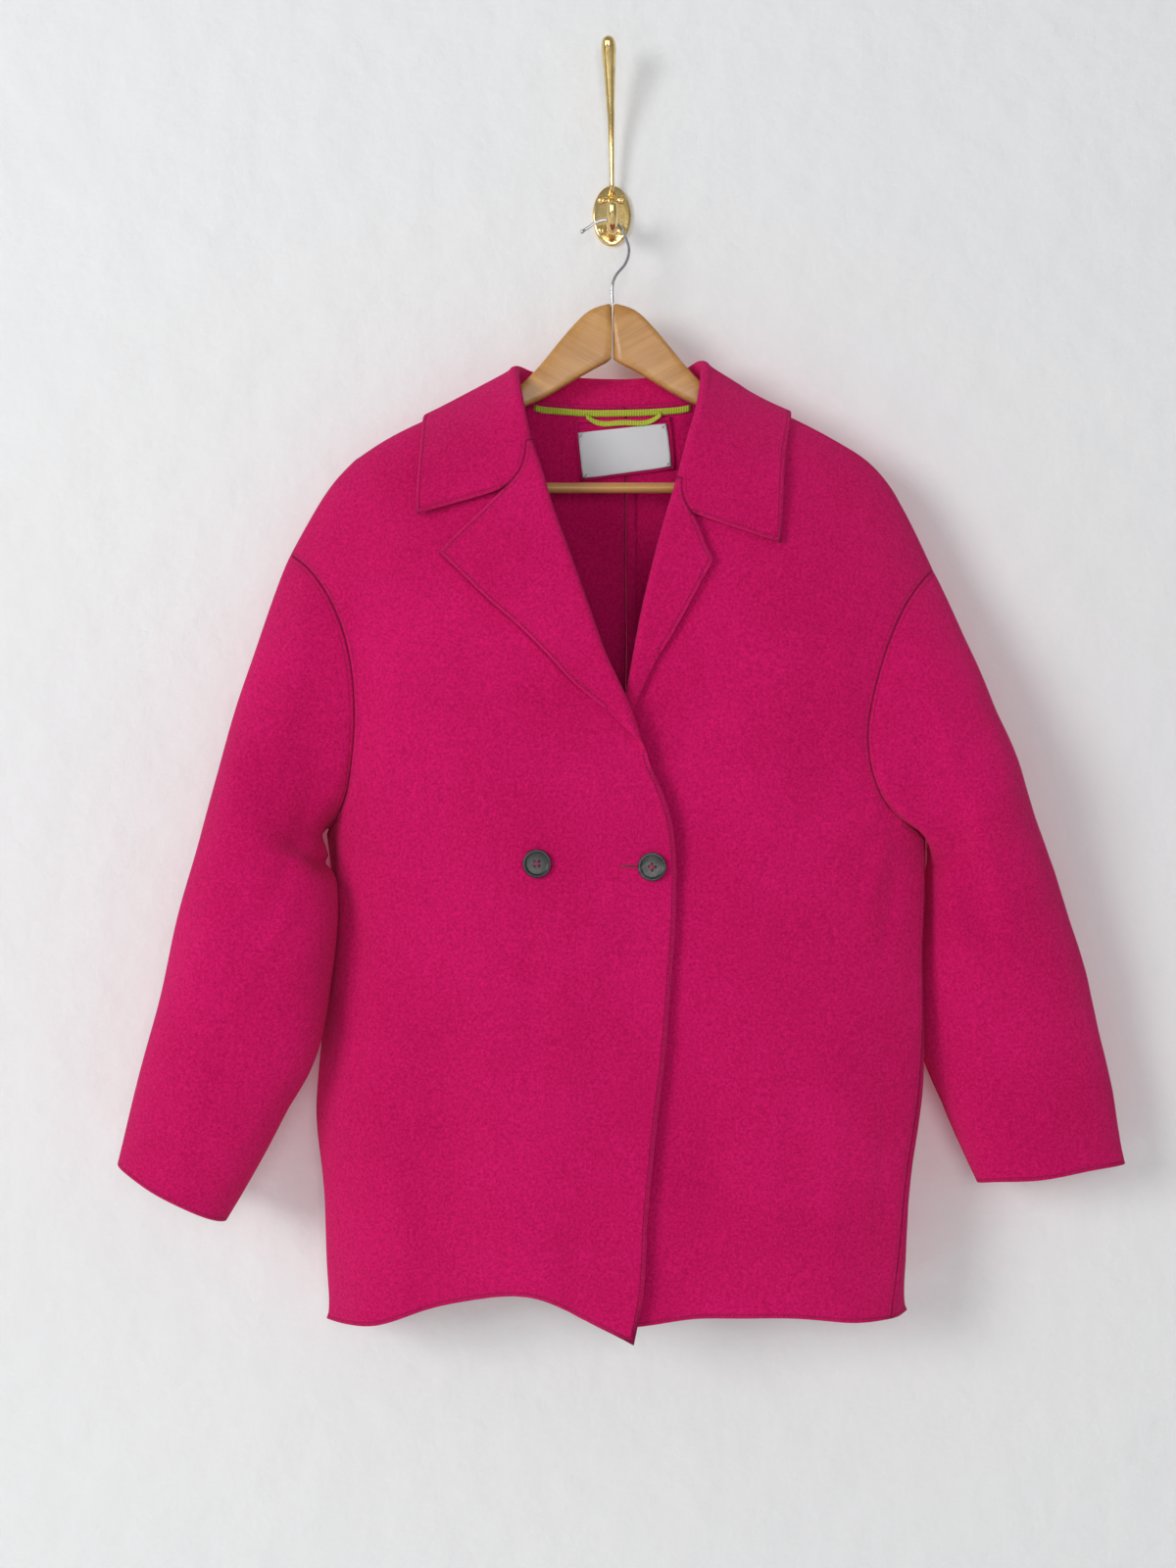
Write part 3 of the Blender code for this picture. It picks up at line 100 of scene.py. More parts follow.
# %% Helpers for the finishes
class Finish:
    """A new Principled material with its constant sockets set, and the means to add nodes to it."""

    def __init__(self, name, **sockets):
        self.material = bpy.data.materials.new(name)
        self.material.use_nodes = True
        self.tree = self.material.node_tree
        self.shader = self.tree.nodes["Principled BSDF"]
        for socket, value in sockets.items():
            self.shader.inputs[socket.replace("_", " ")].default_value = value

    def add(self, kind, settings=None, **inputs):
        """One node: settings are its options, inputs are sockets, as values or as links. i0 is socket 0."""
        node = self.tree.nodes.new("ShaderNode" + kind)
        for key, value in (settings or {}).items():
            setattr(node, key, value)
        for key, value in inputs.items():
            numbered = key[0] == "i" and key[1:].isdigit()
            socket = node.inputs[int(key[1:]) if numbered else key.replace("_", " ")]
            if isinstance(value, bpy.types.NodeSocket):
                self.tree.links.new(value, socket)
            else:
                socket.default_value = value
        return node

    def wire(self, source, socket):
        """Leads a link into the shader."""
        self.tree.links.new(source, self.shader.inputs[socket])

    def place(self, stretch=(1.0, 1.0, 1.0), turn=(0.0, 0.0, 0.0)):
        """The object's own coordinates, turned and then stretched."""
        spot = self.add("TexCoord").outputs["Object"]
        turned = self.add("Mapping", Vector=spot, Rotation=turn).outputs["Vector"]
        return self.add("Mapping", Vector=turned, Scale=stretch).outputs["Vector"]

    def noise(self, spot, scale, detail=3.0, rough=0.5):
        return self.add("TexNoise", Vector=spot, Scale=scale, Detail=detail, Roughness=rough).outputs["Fac"]

    def ramp(self, value, low, high, bottom=0.0, top=1.0):
        """The value, spread from low..high to bottom..top and held there."""
        spread = self.add("MapRange", Value=value, From_Min=low, From_Max=high, To_Min=bottom, To_Max=top)
        return spread.outputs["Result"]

    def blend(self, share, first, second):
        """Two colours, mixed by a share of the second."""
        return self.add("Mix", {"data_type": "RGBA"}, i0=share, i6=first, i7=second).outputs[2]

    def sums(self, kind, first, second):
        return self.add("Math", {"operation": kind}, i0=first, i1=second).outputs[0]

    def raised(self, height, depth, strength=1.0, below=None):
        """A bump of so many metres; below is the bump that it lies on."""
        extra = {"Normal": below} if below is not None else {}
        return self.add("Bump", Height=height, Distance=depth, Strength=strength, **extra).outputs["Normal"]


def scaled(colour, share, lift=0.0):
    """A colour made darker or lighter."""
    return tuple(min(1.0, share * c + lift) for c in colour[:3]) + (1.0,)


print("the finishes have a class of their own:", [n for n in vars(Finish) if n[0] != "_"])


# %% [markdown]
# The wall behind is a plain painted backdrop and the floor a pale sheet. Both are staged: they are
# not part of the coat. The wall takes the coat's soft shadow, but it blocks no light and its back
# is clear, so the coat can be looked at from behind as well. The light is one broad soft lamp from
# the left, like a window, a weaker one beyond the camera, one behind the wall for views of the
# coat's back, and a pale sky all round.

# %% Wall, floor and light
WALL_HALF, WALL_TOP, FLOOR_Z = 3.0, 2.2, -1.45
WALL_Y = 0.0006  # just behind the brass plate
FLOOR_FRONT, FLOOR_BACK = -4.0, 3.0
COAT_MIDDLE = (0.0, -0.06, -0.5)
LAMPS = table("name spot size power", [
    ("window_light", (-2.9, -3.2, 0.3), 1.8, 86.0), ("front_light", (0.2, -4.5, -0.1), 1.6, 42.0),
    ("back_light", (0.9, 3.2, 0.5), 2.2, 62.0)])
SKY_COLOUR, SKY_STRENGTH = (0.93, 0.96, 1.0, 1.0), 0.36


def big_sheet(name, material, low, high):
    """A sheet between two corners; it stands where their depths are equal, and else it lies."""
    mesh = bpy.data.meshes.new(name)
    (x1, y1, z1), (x2, y2, z2) = low, high
    mesh.from_pydata([(x1, y1, z1), (x2, y1, z1), (x2, y2, z2), (x1, y2, z2)], [], [(0, 1, 2, 3)])
    mesh.materials.append(material)
    sheet = new_object(name, mesh)
    return sheet


def wall_paint():
    paint = Finish("wall_paint", Roughness=0.9)
    spot = paint.place()
    tone = paint.blend(paint.noise(spot, 2.5), (0.77, 0.775, 0.78, 1), (0.815, 0.815, 0.81, 1))
    paint.wire(tone, "Base Color")
    paint.wire(paint.raised(paint.noise(spot, 22.0, 6.0), 0.004), "Normal")
    clear = paint.add("BsdfTransparent").outputs[0]
    seen_from_behind = paint.add("NewGeometry").outputs["Backfacing"]
    either = paint.add("MixShader", i0=seen_from_behind, i1=paint.shader.outputs[0], i2=clear)
    paint.tree.links.new(either.outputs[0], paint.tree.nodes["Material Output"].inputs["Surface"])
    return paint.material


def floor_paint():
    paint = Finish("floor_paint", Roughness=0.85)
    tone = paint.blend(paint.noise(paint.place(), 3.0), (0.7, 0.7, 0.69, 1), (0.76, 0.76, 0.75, 1))
    paint.wire(tone, "Base Color")
    return paint.material


wall = big_sheet("wall", wall_paint(), (-WALL_HALF, WALL_Y, FLOOR_Z), (WALL_HALF, WALL_Y, WALL_TOP))
wall.visible_shadow = False
big_sheet("floor", floor_paint(), (-WALL_HALF, FLOOR_FRONT, FLOOR_Z), (WALL_HALF, FLOOR_BACK, FLOOR_Z))
for row in LAMPS:
    light = bpy.data.lights.new(row.name, "AREA")
    light.shape = "DISK"
    light.size = row.size
    light.energy = row.power
    holder = new_object(row.name, light)
    holder.location = row.spot
    aim = Vector(COAT_MIDDLE) - Vector(row.spot)
    holder.rotation_euler = aim.to_track_quat("-Z", "Y").to_euler()
sky = bpy.data.worlds.new("sky")
sky.use_nodes = True
sky.node_tree.nodes["Background"].inputs["Color"].default_value = SKY_COLOUR
sky.node_tree.nodes["Background"].inputs["Strength"].default_value = SKY_STRENGTH
scene.world = sky
print(len(LAMPS), "lamps and a pale sky")

# %% [markdown]
# Felted wool is a knitted or woven cloth shrunk until its yarns lock: what is seen is not a weave
# but a mat of short fibres in two or three shades of one dye. So the colour is a fine speckle of a
# light and a deep pink over a slow unevenness, the surface is rough with a soft sheen where fibres
# stand up at the rim of a form, and the relief is a grain under a millimetre high. Two measures stored on
# the cloth's points, the distance to a cut edge and to a seam, let the same recipe press a row of
# machine stitching into every edge. The colour also carries painted light: painted shade in the
# stitched grooves and along each seam, and a painted highlight along each raw edge.

# %% The felted wool
STITCH_IN, SEAM_STITCH_IN = 2.9, 3.4  # mm from a raw edge, and from a seam, to the stitching
GROOVE_HALF = 0.9  # mm from the middle of the groove that the stitching presses to its side


def distance_to(paint, attribute):
    return paint.add("Attribute", {"attribute_name": attribute}).outputs["Fac"]


def stitched_groove(paint, attribute, inset):
    """1 in the groove that the stitching presses along an edge, and 0 away from it: it leads the groove's bump
    and its painted shade.
    """
    off = paint.sums("SUBTRACT", distance_to(paint, attribute), inset * MM)
    return paint.ramp(paint.sums("ABSOLUTE", off, 0.0), 0.0, GROOVE_HALF * MM, 1.0, 0.0)


def edge_band(paint, attribute, reach):
    """1 on the edge itself and 0 from reach on: it leads a painted highlight at a raw edge, and painted shade
    and a pressed relief at a seam.
    """
    return paint.ramp(distance_to(paint, attribute), 0.0, reach * MM, 1.0, 0.0)


def felted_wool(name, light, deep):
    paint = Finish(name, Roughness=0.95, Specular_IOR_Level=0.1, Sheen_Weight=0.2, Sheen_Roughness=0.45,
                   Sheen_Tint=(1.0, 0.22, 0.45, 1.0))
    spot = paint.place()
    speckle = paint.noise(spot, 430.0, 5.0, 0.8)
    fibres = paint.noise(paint.place((1.0, 1.0, 2.6)), 1300.0, 3.0, 0.6)
    slow = paint.noise(spot, 9.0, 4.0)
    share = paint.sums("ADD", paint.sums("MULTIPLY", speckle, 0.7), paint.sums("MULTIPLY", fibres, 0.3))
    share = paint.ramp(paint.sums("ADD", share, paint.sums("MULTIPLY", slow, 0.16)), 0.47, 0.69)
    seam_groove = paint.sums("MULTIPLY", stitched_groove(paint, "seam_edge", SEAM_STITCH_IN), 0.55)
    groove = paint.sums("MAXIMUM", stitched_groove(paint, "raw_edge", STITCH_IN), seam_groove)
    # The darker copy of the deep pink is painted shade, blended into the stitched grooves and along each seam;
    # the lighter copy of the light pink is a painted highlight along each raw edge.
    painted_shade, painted_edge_highlight = scaled(deep, 0.6), scaled(light, 1.25, 0.03)
    colour = paint.blend(paint.sums("MULTIPLY", groove, 0.55), paint.blend(share, deep, light), painted_shade)
    # A painted highlight lightens each raw edge.
    colour = paint.blend(paint.sums("MULTIPLY", edge_band(paint, "raw_edge", 1.1), 0.35), colour, painted_edge_highlight)
    # Painted shade darkens the cloth along each seam.
    colour = paint.blend(paint.sums("MULTIPLY", edge_band(paint, "seam_edge", 1.0), 0.3), colour, painted_shade)
    paint.wire(colour, "Base Color")
    lumps = paint.raised(paint.noise(spot, 210.0, 4.0, 0.6), 0.0009, 0.8)
    grain = paint.raised(share, 0.0005, 0.9, lumps)
    pressed = paint.sums("MAXIMUM", groove, edge_band(paint, "seam_edge", 1.6))
    paint.wire(paint.raised(paint.sums("SUBTRACT", 1.0, pressed), 0.0007, 0.9, grain), "Normal")
    return paint.material


WOOL = felted_wool("felted_wool", (0.80, 0.010, 0.165, 1.0), (0.48, 0.0015, 0.080, 1.0))
print("mixed", WOOL.name)

# %% [markdown]
# Each piece of the coat is cut from one cloth about two and a half millimetres thick. The frame
# holds it as a wall of flat facets. A finer copy is the quickest way to soft cloth that keeps the
# cut: the facets are welded and paired to quads, the edges of the cut are creased so that they stay
# put, and a subdivision surface rounds what lies between. The frame's own mesh is left as it is.

# %% From a faceted wall to smooth cloth
WELD = 0.00002
THIN, THICK = 0.4 * MM, 4.5 * MM  # the cloth's thickness lies between these everywhere
FACING_APART, THROUGH = -0.2, 0.5  # cosines: an edge through the cloth has ends that face apart, along it
CORNER_ANGLE = math.radians(38)
PAIR_FACES, PAIR_SHAPES = 0.7, 1.2
Border = namedtuple("Border", "points inward")


def skin_normals(work):
    """A normal at each point, led by the large faces round it."""
    normals = {}
    for point in work.verts:
        total = Vector()
        for face in point.link_faces:
            total += face.normal * face.calc_area()
        normals[point] = total.normalized()
    return normals


def weld_and_pair(work):
    """Welds the facets and pairs them to quads. Faces of the cut, through the thickness, get material 1."""
    bmesh.ops.remove_doubles(work, verts=work.verts, dist=WELD)
    work.normal_update()
    normals = skin_normals(work)
    for edge in work.edges:
        one, two = edge.verts
        along = two.co - one.co
        if THIN < along.length < THICK and normals[one].dot(normals[two]) < FACING_APART:
            if abs(along.normalized().dot(normals[one])) > THROUGH:
                edge.seam = True
                for face in edge.link_faces:
                    face.material_index = 1
    bmesh.ops.join_triangles(work, faces=work.faces, cmp_seam=True, cmp_materials=True,
                             angle_face_threshold=PAIR_FACES, angle_shape_threshold=PAIR_SHAPES)
    work.normal_update()


def follow(edges):
    """The edges, put in order as closed loops of (point, edge)."""
    links = {}
    for edge in edges:
        for point in edge.verts:
            links.setdefault(point, []).append(edge)
    loops, left = [], set(edges)
    while left:
        edge = min(left, key=lambda e: e.index)
        point, loop = edge.verts[0], []
        while edge is not None:
            left.discard(edge)
            loop.append((point, edge))
            point = edge.other_vert(point)
            edge = next((e for e in links[point] if e in left), None)
        loops.append(loop)
    return loops


def rounded_loop(points, pinned, inward, levels):
    """The curve that a creased loop takes under subdivision; pinned points stay where they are."""
    for level in range(levels):
        before, after = np.roll(points, 1, 0), np.roll(points, -1, 0)
        kept = np.where(pinned[:, None], points, (before + 6 * points + after) / 8)
        middle = (points + after) / 2
        points = np.stack([kept, middle], 1).reshape(-1, 3)
        inward = np.stack([inward, (inward + np.roll(inward, -1, 0)) / 2], 1).reshape(-1, 3)
        pinned = np.stack([pinned, np.zeros_like(pinned)], 1).reshape(-1)
    before, after = np.roll(points, 1, 0), np.roll(points, -1, 0)
    points = np.where(pinned[:, None], points, (before + 4 * points + after) / 6)
    return Border(points, inward / np.linalg.norm(inward, axis=1)[:, None])


def into_cloth(point, edge):
    """The way from an edge into the skin beside it."""
    skin = next(f for f in edge.link_faces if f.material_index == 0)
    along = (edge.other_vert(point).co - point.co).normalized()
    inward = skin.calc_center_median() - point.co
    return np.array((inward - along * inward.dot(along)).normalized())


def kept_mesh(name, work):
    """A mesh of what the bmesh holds, which is then let go."""
    mesh = bpy.data.meshes.new(name)
    work.to_mesh(mesh)
    work.free()
    return mesh


def smooth_copy(node, name, levels, edges_too=False):
    """A finer copy of a node of the frame as a new object and, if wanted, the loops of its borders."""
    work = bmesh.new()
    work.from_mesh(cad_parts[node].data)
    weld_and_pair(work)
    edge_crease = work.edges.layers.float.new("crease_edge")
    point_crease = work.verts.layers.float.new("crease_vert")
    rims = [e for e in work.edges if len({f.material_index for f in e.link_faces}) == 2]
    found = []
    for loop in follow(rims):
        points = [p for p, _ in loop]
        pinned = []
        for before, point, after in zip(points[-1:] + points[:-1], points, points[1:] + points[:1]):
            one, two = before.co - point.co, after.co - point.co
            sharp = one.length > 0 and two.length > 0 and one.angle(two) < math.pi - CORNER_ANGLE
            point[point_crease] = 1.0 if sharp else 0.0
            pinned.append(sharp)
        ways = np.array([into_cloth(p, e) for p, e in loop])
        ways = (ways + np.roll(ways, 1, 0)) / 2
        found.append(rounded_loop(np.array([p.co for p in points]), np.array(pinned), ways, levels))
    for edge in rims:
        edge[edge_crease] = 1.0
    for face in work.faces:
        face.material_index = 0
    rough = new_object(name + "_rough", kept_mesh(name, work))
    rounding = rough.modifiers.new("rounding", "SUBSURF")
    rounding.levels = rounding.render_levels = levels
    bpy.context.view_layer.update()
    fine = bpy.data.meshes.new_from_object(rough.evaluated_get(bpy.context.evaluated_depsgraph_get()))
    bpy.data.objects.remove(rough)
    for extra in ("crease_edge", "crease_vert"):
        if extra in fine.attributes:
            fine.attributes.remove(fine.attributes[extra])
    piece = new_object(name, fine)
    return (piece, found) if edges_too else piece


def points_of(piece):
    spots = np.empty(len(piece.data.vertices) * 3)
    piece.data.vertices.foreach_get("co", spots)
    return spots.reshape(-1, 3)


def move_points(piece, spots):
    piece.data.vertices.foreach_set("co", spots.ravel())
    piece.data.update()


def dress(piece, material, nodes):
    """Smooth shading, its finish, its body and what it stands for."""
    piece.data.materials.clear()
    piece.data.materials.append(material)
    if piece.type == "MESH":
        piece.data.shade_smooth()
    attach(piece, "root")
    if nodes:
        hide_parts(*nodes)
    return piece


WOOLLENS = [f"{part}_{side}" for part in ("front", "back", "sleeve") for side in SIDES] + ["collar"]
cloth, borders = {}, {}
for node in WOOLLENS:
    cloth[node], borders[node] = smooth_copy(node, node + "_cloth", 3, True)
print("cloth points:", {node: len(piece.data.vertices) for node, piece in cloth.items()})
print("border loops:", {node: [len(b.points) for b in loops] for node, loops in borders.items()})

# %% [markdown]
# Every piece has two kinds of border. A raw edge, such as the hem or a lapel's, is cut and left to
# be seen, because felt does not fray. A seam meets another piece. So a border is a seam where the
# next piece's border is about a millimetre off, and raw elsewhere. The distance of each point of
# the cloth to each kind is stored on the points, where the felt's finish reads it.

# %% Raw edges and seams
SEAM_REACH = 1.9 * MM
FAR = 0.06
FILL_STEP = 0.6 * MM


def tree_of(spots):
    tree = KDTree(len(spots))
    for number, spot in enumerate(spots):
        tree.insert(spot, number)
    tree.balance()
    return tree


def filled(points, chosen):
    """Spots close together along the chosen stretches of a loop."""
    rows = []
    for here, there, wanted in zip(points, np.roll(points, -1, 0), chosen):
        if wanted:
            count = max(1, int(np.linalg.norm(there - here) / FILL_STEP))
            rows.extend(here + (there - here) * k / count for k in range(count))
    return rows


all_points, owners = [], []
for node, loops in borders.items():
    for loop in loops:
        all_points.extend(loop.points)
        owners.extend([node] * len(loop.points))
everyone = tree_of(all_points)


def meets_another(node, point):
    return any(owners[n] != node for _, n, _ in everyone.find_range(point, SEAM_REACH))


sewn = {node: [np.array([meets_another(node, point) for point in loop.points]) for loop in loops]
        for node, loops in borders.items()}


def distances(spots, marks):
    if not marks:
        return np.full(len(spots), FAR)
    tree = tree_of(marks)
    return np.array([min(FAR, tree.find(spot)[2]) for spot in spots])


def store(piece, to_raw, to_seam):
    """Keeps each point's two distances, for the felt's finish to read."""
    for label, values in (("raw_edge", to_raw), ("seam_edge", to_seam)):
        piece.data.attributes.new(label, "FLOAT", "POINT").data.foreach_set("value", values)


def marks_along(node, sewn_ones):
    """Spots along a piece's seams, or along its raw edges."""
    return [m for loop, seam in zip(borders[node], sewn[node])
            for m in filled(loop.points, seam if sewn_ones else ~seam)]


to_seam = {}
for node, piece in cloth.items():
    raw, seams = marks_along(node, False), marks_along(node, True)
    spots = points_of(piece)
    to_seam[node] = distances(spots, seams)
    store(piece, distances(spots, raw), to_seam[node])
    print(node, "has", len(raw), "marks along raw edges and", len(seams), "along seams")

# %% [markdown]
# Heavy felt hangs in a few broad troughs and ridges, and the frame has the largest. The finer ones
# are listed: each row of the table is a line down the cloth with a width and a height, in
# millimetres, which fades in and out along its length. A slow unevenness lies over everything. Both
# are moves of points, not bump, so the coat's outline and shadows have them too, and both skins of
# a wall move together, which keeps its thickness.

# %% Creases and unevenness
# Each row: 1 if it faces the wall or -1 if it faces the viewer, three points of the line, its width, and how
# far it stands out.
CREASE_COLUMNS = "facing x1 z1 x2 z2 x3 z3 width height"
CREASES = {
    "front_right": table(CREASE_COLUMNS, [
        (-1, -196, -330, -184, -420, -190, -520, 15, 1.6), (-1, -214, -560, -206, -640, -212, -760, 9, -1.5),
        (-1, -226, -545, -212, -575, -196, -590, 6, 1.8), (-1, -228, -562, -214, -600, -203, -640, 5, -1.6),
        (-1, -96, -585, -104, -700, -98, -870, 16, 1.3), (-1, -62, -566, -66, -640, -56, -760, 9, -1.1),
        (-1, -30, -600, -36, -690, -30, -800, 12, 1.0), (-1, -118, -300, -96, -390, -40, -470, 17, 1.2),
        (-1, 8, -560, -10, -610, -22, -700, 8, 1.1), (-1, -150, -420, -140, -520, -146, -640, 14, -1.1),
        (-1, -176, -800, -170, -870, -176, -940, 13, 1.9), (-1, -36, -830, -30, -890, -34, -945, 9, -1.4)]),
    "front_left": table(CREASE_COLUMNS, [
        (-1, 226, -512, 214, -560, 200, -600, 7, 2.0), (-1, 236, -545, 224, -590, 214, -640, 6, -1.7),
        (-1, 240, -520, 222, -526, 204, -520, 5, -1.4), (-1, 120, -330, 96, -430, 84, -560, 18, 1.4),
        (-1, 196, -330, 186, -420, 190, -500, 13, 1.5), (-1, 132, -640, 126, -760, 130, -900, 17, 1.5),
        (-1, 84, -700, 80, -800, 84, -930, 11, -1.3), (-1, 184, -700, 178, -800, 182, -930, 10, 1.4),
        (-1, 222, -690, 220, -780, 216, -900, 8, -1.2), (-1, 60, -430, 66, -520, 62, -600, 10, 1.0)]),
    "back_right": table(CREASE_COLUMNS, [
        (1, -60, -220, -110, -262, -180, -300, 13, 1.6), (1, -200, -300, -186, -400, -196, -520, 14, 1.8),
        (1, -150, -560, -142, -720, -150, -930, 18, 3.2), (1, -84, -480, -88, -680, -80, -915, 15, -2.4),
        (1, -208, -600, -200, -700, -206, -800, 10, -1.8), (1, -226, -548, -210, -590, -200, -640, 7, 2.1),
        (1, -30, -300, -34, -420, -26, -560, 12, 1.1), (1, -116, -330, -122, -430, -112, -540, 11, -1.4)]),
    "back_left": table(CREASE_COLUMNS, [
        (1, 70, -224, 116, -266, 176, -310, 14, 1.7), (1, 206, -310, 192, -410, 200, -520, 13, 1.9),
        (1, 148, -540, 156, -730, 148, -925, 19, 3.0), (1, 88, -500, 84, -700, 92, -915, 14, -2.3),
        (1, 214, -610, 206, -720, 212, -830, 9, -1.7), (1, 238, -548, 220, -592, 208, -650, 7, 2.2),
        (1, 44, -310, 40, -450, 46, -600, 11, 1.2), (1, 124, -350, 118, -450, 126, -560, 10, -1.3)]),
    "sleeve_right": table(CREASE_COLUMNS, [
        (-1, -248, -300, -262, -400, -276, -500, 13, 1.5), (-1, -246, -470, -258, -540, -286, -600, 8, -1.8),
        (-1, -250, -560, -272, -610, -300, -640, 7, 1.8), (-1, -262, -620, -290, -668, -322, -690, 10, -1.5),
        (-1, -300, -430, -320, -560, -346, -680, 16, 1.2), (-1, -318, -700, -340, -760, -352, -830, 11, 1.4),
        (1, -262, -420, -290, -520, -316, -610, 14, 1.8), (1, -256, -560, -286, -610, -330, -640, 9, -2.0),
        (1, -300, -640, -330, -680, -366, -700, 11, 1.7)]),
    "sleeve_left": table(CREASE_COLUMNS, [
        (-1, 252, -400, 268, -440, 276, -500, 9, 1.9), (-1, 268, -486, 290, -560, 318, -660, 11, -2.2),
        (-1, 286, -470, 312, -560, 338, -640, 10, 1.5), (-1, 262, -520, 276, -580, 296, -640, 7, 1.6),
        (-1, 300, -640, 322, -700, 356, -730, 10, -1.3), (-1, 330, -680, 350, -740, 366, -800, 12, 1.2),
        (1, 266, -420, 296, -520, 320, -620, 13, 1.8), (1, 270, -540, 300, -596, 340, -630, 9, -1.9),
        (1, 310, -640, 338, -690, 372, -710, 11, 1.6)]),
}
LINE_STEPS = 24
FADE = 0.3  # the share of a line's length over which it rises
SEAM_CALM = 14.0 * MM  # creases die away this far from a seam
HALF_REACH = 9.0 * MM  # a sleeve's front half blends into its back half over this depth
HALF_OVERLAP = 0.3
CALM = table("x z radius", [(-61.5, -550, 26), (31, -552.5, 26), (14, -552, 18), (10, -205, 62)])
CALM_CORE = 0.4  # within this share of the radius nothing moves
WIDTHS_REACHED = 3.2  # a crease is worked out to this many widths from its line


def smooth(value):
    value = np.clip(value, 0.0, 1.0)
    return value * value * (3.0 - 2.0 * value)


def soft_line(spots, row):
    """How far each spot is moved by one crease."""
    ends = np.array([(row.x1, row.z1), (row.x2, row.z2), (row.x3, row.z3)]) * MM
    t = np.linspace(0.0, 1.0, LINE_STEPS)[:, None]
    control = 2 * ends[1] - (ends[0] + ends[2]) / 2
    line = (1 - t) ** 2 * ends[0] + 2 * t * (1 - t) * control + t * t * ends[2]
    near = WIDTHS_REACHED * row.width * MM
    low, high = line.min(0) - near, line.max(0) + near
    flat = spots[:, [0, 2]]
    inside = np.flatnonzero(np.all((flat > low) & (flat < high), axis=1))
    best = np.full(len(inside), np.inf)
    share = np.zeros(len(inside))
    for n, (here, there) in enumerate(zip(line[:-1], line[1:])):
        along = there - here
        at = np.clip((flat[inside] - here) @ along / (along @ along), 0.0, 1.0)
        off = np.linalg.norm(flat[inside] - here - at[:, None] * along, axis=1)
        closer = off < best
        best[closer] = off[closer]
        share[closer] = ((n + at) / (LINE_STEPS - 1))[closer]
    move = np.zeros(len(spots))
    rise = smooth(share / FADE) * smooth((1.0 - share) / FADE)
    move[inside] = row.height * MM * rise * np.exp(-((best / (row.width * MM)) ** 2))
    return move


def middle_depth(spots, step=0.012):
    """The depth of a sleeve's middle at each spot, by height."""
    heights = np.arange(spots[:, 2].min(), spots[:, 2].max(), step)
    middles = [spots[np.abs(spots[:, 2] - h) < step, 1] for h in heights]
    return np.interp(spots[:, 2], heights, [(m.min() + m.max()) / 2 for m in middles])


def calm(spots):
    """0 where buttons and trim lie flat on the cloth, and 1 away from them."""
    share = np.ones(len(spots))
    for row in CALM:
        away = np.hypot(spots[:, 0] - row.x * MM, spots[:, 2] - row.z * MM)
        share *= smooth(away / (row.radius * MM) - CALM_CORE)
    return share


DRAW = np.random.default_rng(11)
WAVES = table("length tall", [  # length in metres, height in millimetres
    (0.31, 0.7), (0.24, 0.6), (0.19, 0.5), (0.15, 0.42), (0.12, 0.34), (0.10, 0.28), (0.085, 0.22),
    (0.07, 0.18), (0.06, 0.14), (0.052, 0.12)])
SLOW_WAVES = [(DRAW.normal(size=3) * 2 * math.pi / wave.length, DRAW.uniform(0, 2 * math.pi),
               DRAW.normal(size=3) * wave.tall * MM) for wave in WAVES]
RELIEF_BELOW, RELIEF_RISE = -0.30, 0.12  # the shoulders rest on the hanger and stay as cut


def unevenness(spots):
    """A slow wandering of the cloth, the same for every piece at the same place."""
    move = np.zeros_like(spots)
    for wave, start, tall in SLOW_WAVES:
        move += np.sin(spots @ wave + start)[:, None] * tall
    return move * smooth((RELIEF_BELOW - spots[:, 2]) / RELIEF_RISE)[:, None] * calm(spots)[:, None]


# Soft cloth closes up under the arm: how far each sleeve's inner side leans on the body, by height.
UNDERARM = {
    "right": table("z lean", [(-750, 0), (-725, 3), (-700, 4), (-640, 4), (-580, 6), (-562, 8), (-553, 12),
                              (-545, 14), (-537, 10), (-528, 2), (-520, 0)]),
    "left": table("z lean", [(-750, 0), (-720, 2), (-700, 3), (-625, 4), (-605, 6), (-590, 8), (-575, 10),
                             (-550, 11), (-540, 8), (-530, 2), (-520, 0)]),
}
INNER_REACH = 46.0 * MM
LEAN_CALM = 8.0 * MM  # the lean dies away this far from a seam


def lean_on_body(spots, side, seam_distance, step=0.01):
    """Moves a sleeve's inner side towards the body under the arm."""
    out, high = spots[:, 0] * SIDES[side], spots[:, 2]
    heights = np.arange(high.min(), high.max(), step)
    inner = np.interp(high, heights, [out[np.abs(high - h) < step].min() for h in heights])
    rows = UNDERARM[side]
    lean = np.interp(high, [r.z * MM for r in rows], [r.lean * MM for r in rows])
    share = smooth(1.0 - (out - inner) / INNER_REACH) * smooth(seam_distance / LEAN_CALM)
    leaning = spots.copy()
    leaning[:, 0] -= SIDES[side] * lean * share
    return leaning


for node, piece in cloth.items():
    spots = points_of(piece)
    rise = np.zeros(len(spots))
    is_sleeve = node.startswith("sleeve")
    if is_sleeve:
        spots = lean_on_body(spots, node.split("_")[1], to_seam[node])
        beyond_middle = (spots[:, 1] - middle_depth(spots)) / HALF_REACH
    for row in CREASES.get(node, []):
        part = soft_line(spots, row)
        if is_sleeve:
            part *= smooth(row.facing * beyond_middle + HALF_OVERLAP)
        rise += row.facing * part
    rise *= smooth(to_seam[node] / SEAM_CALM) * calm(spots)
    moved = spots + unevenness(spots)
    moved[:, 1] += rise
    move_points(piece, moved)
    borders[node] = [Border(loop.points + unevenness(loop.points), loop.inward) for loop in borders[node]]
    print(node, "is creased by up to", round(float(np.abs(rise).max() / MM), 1), "mm")

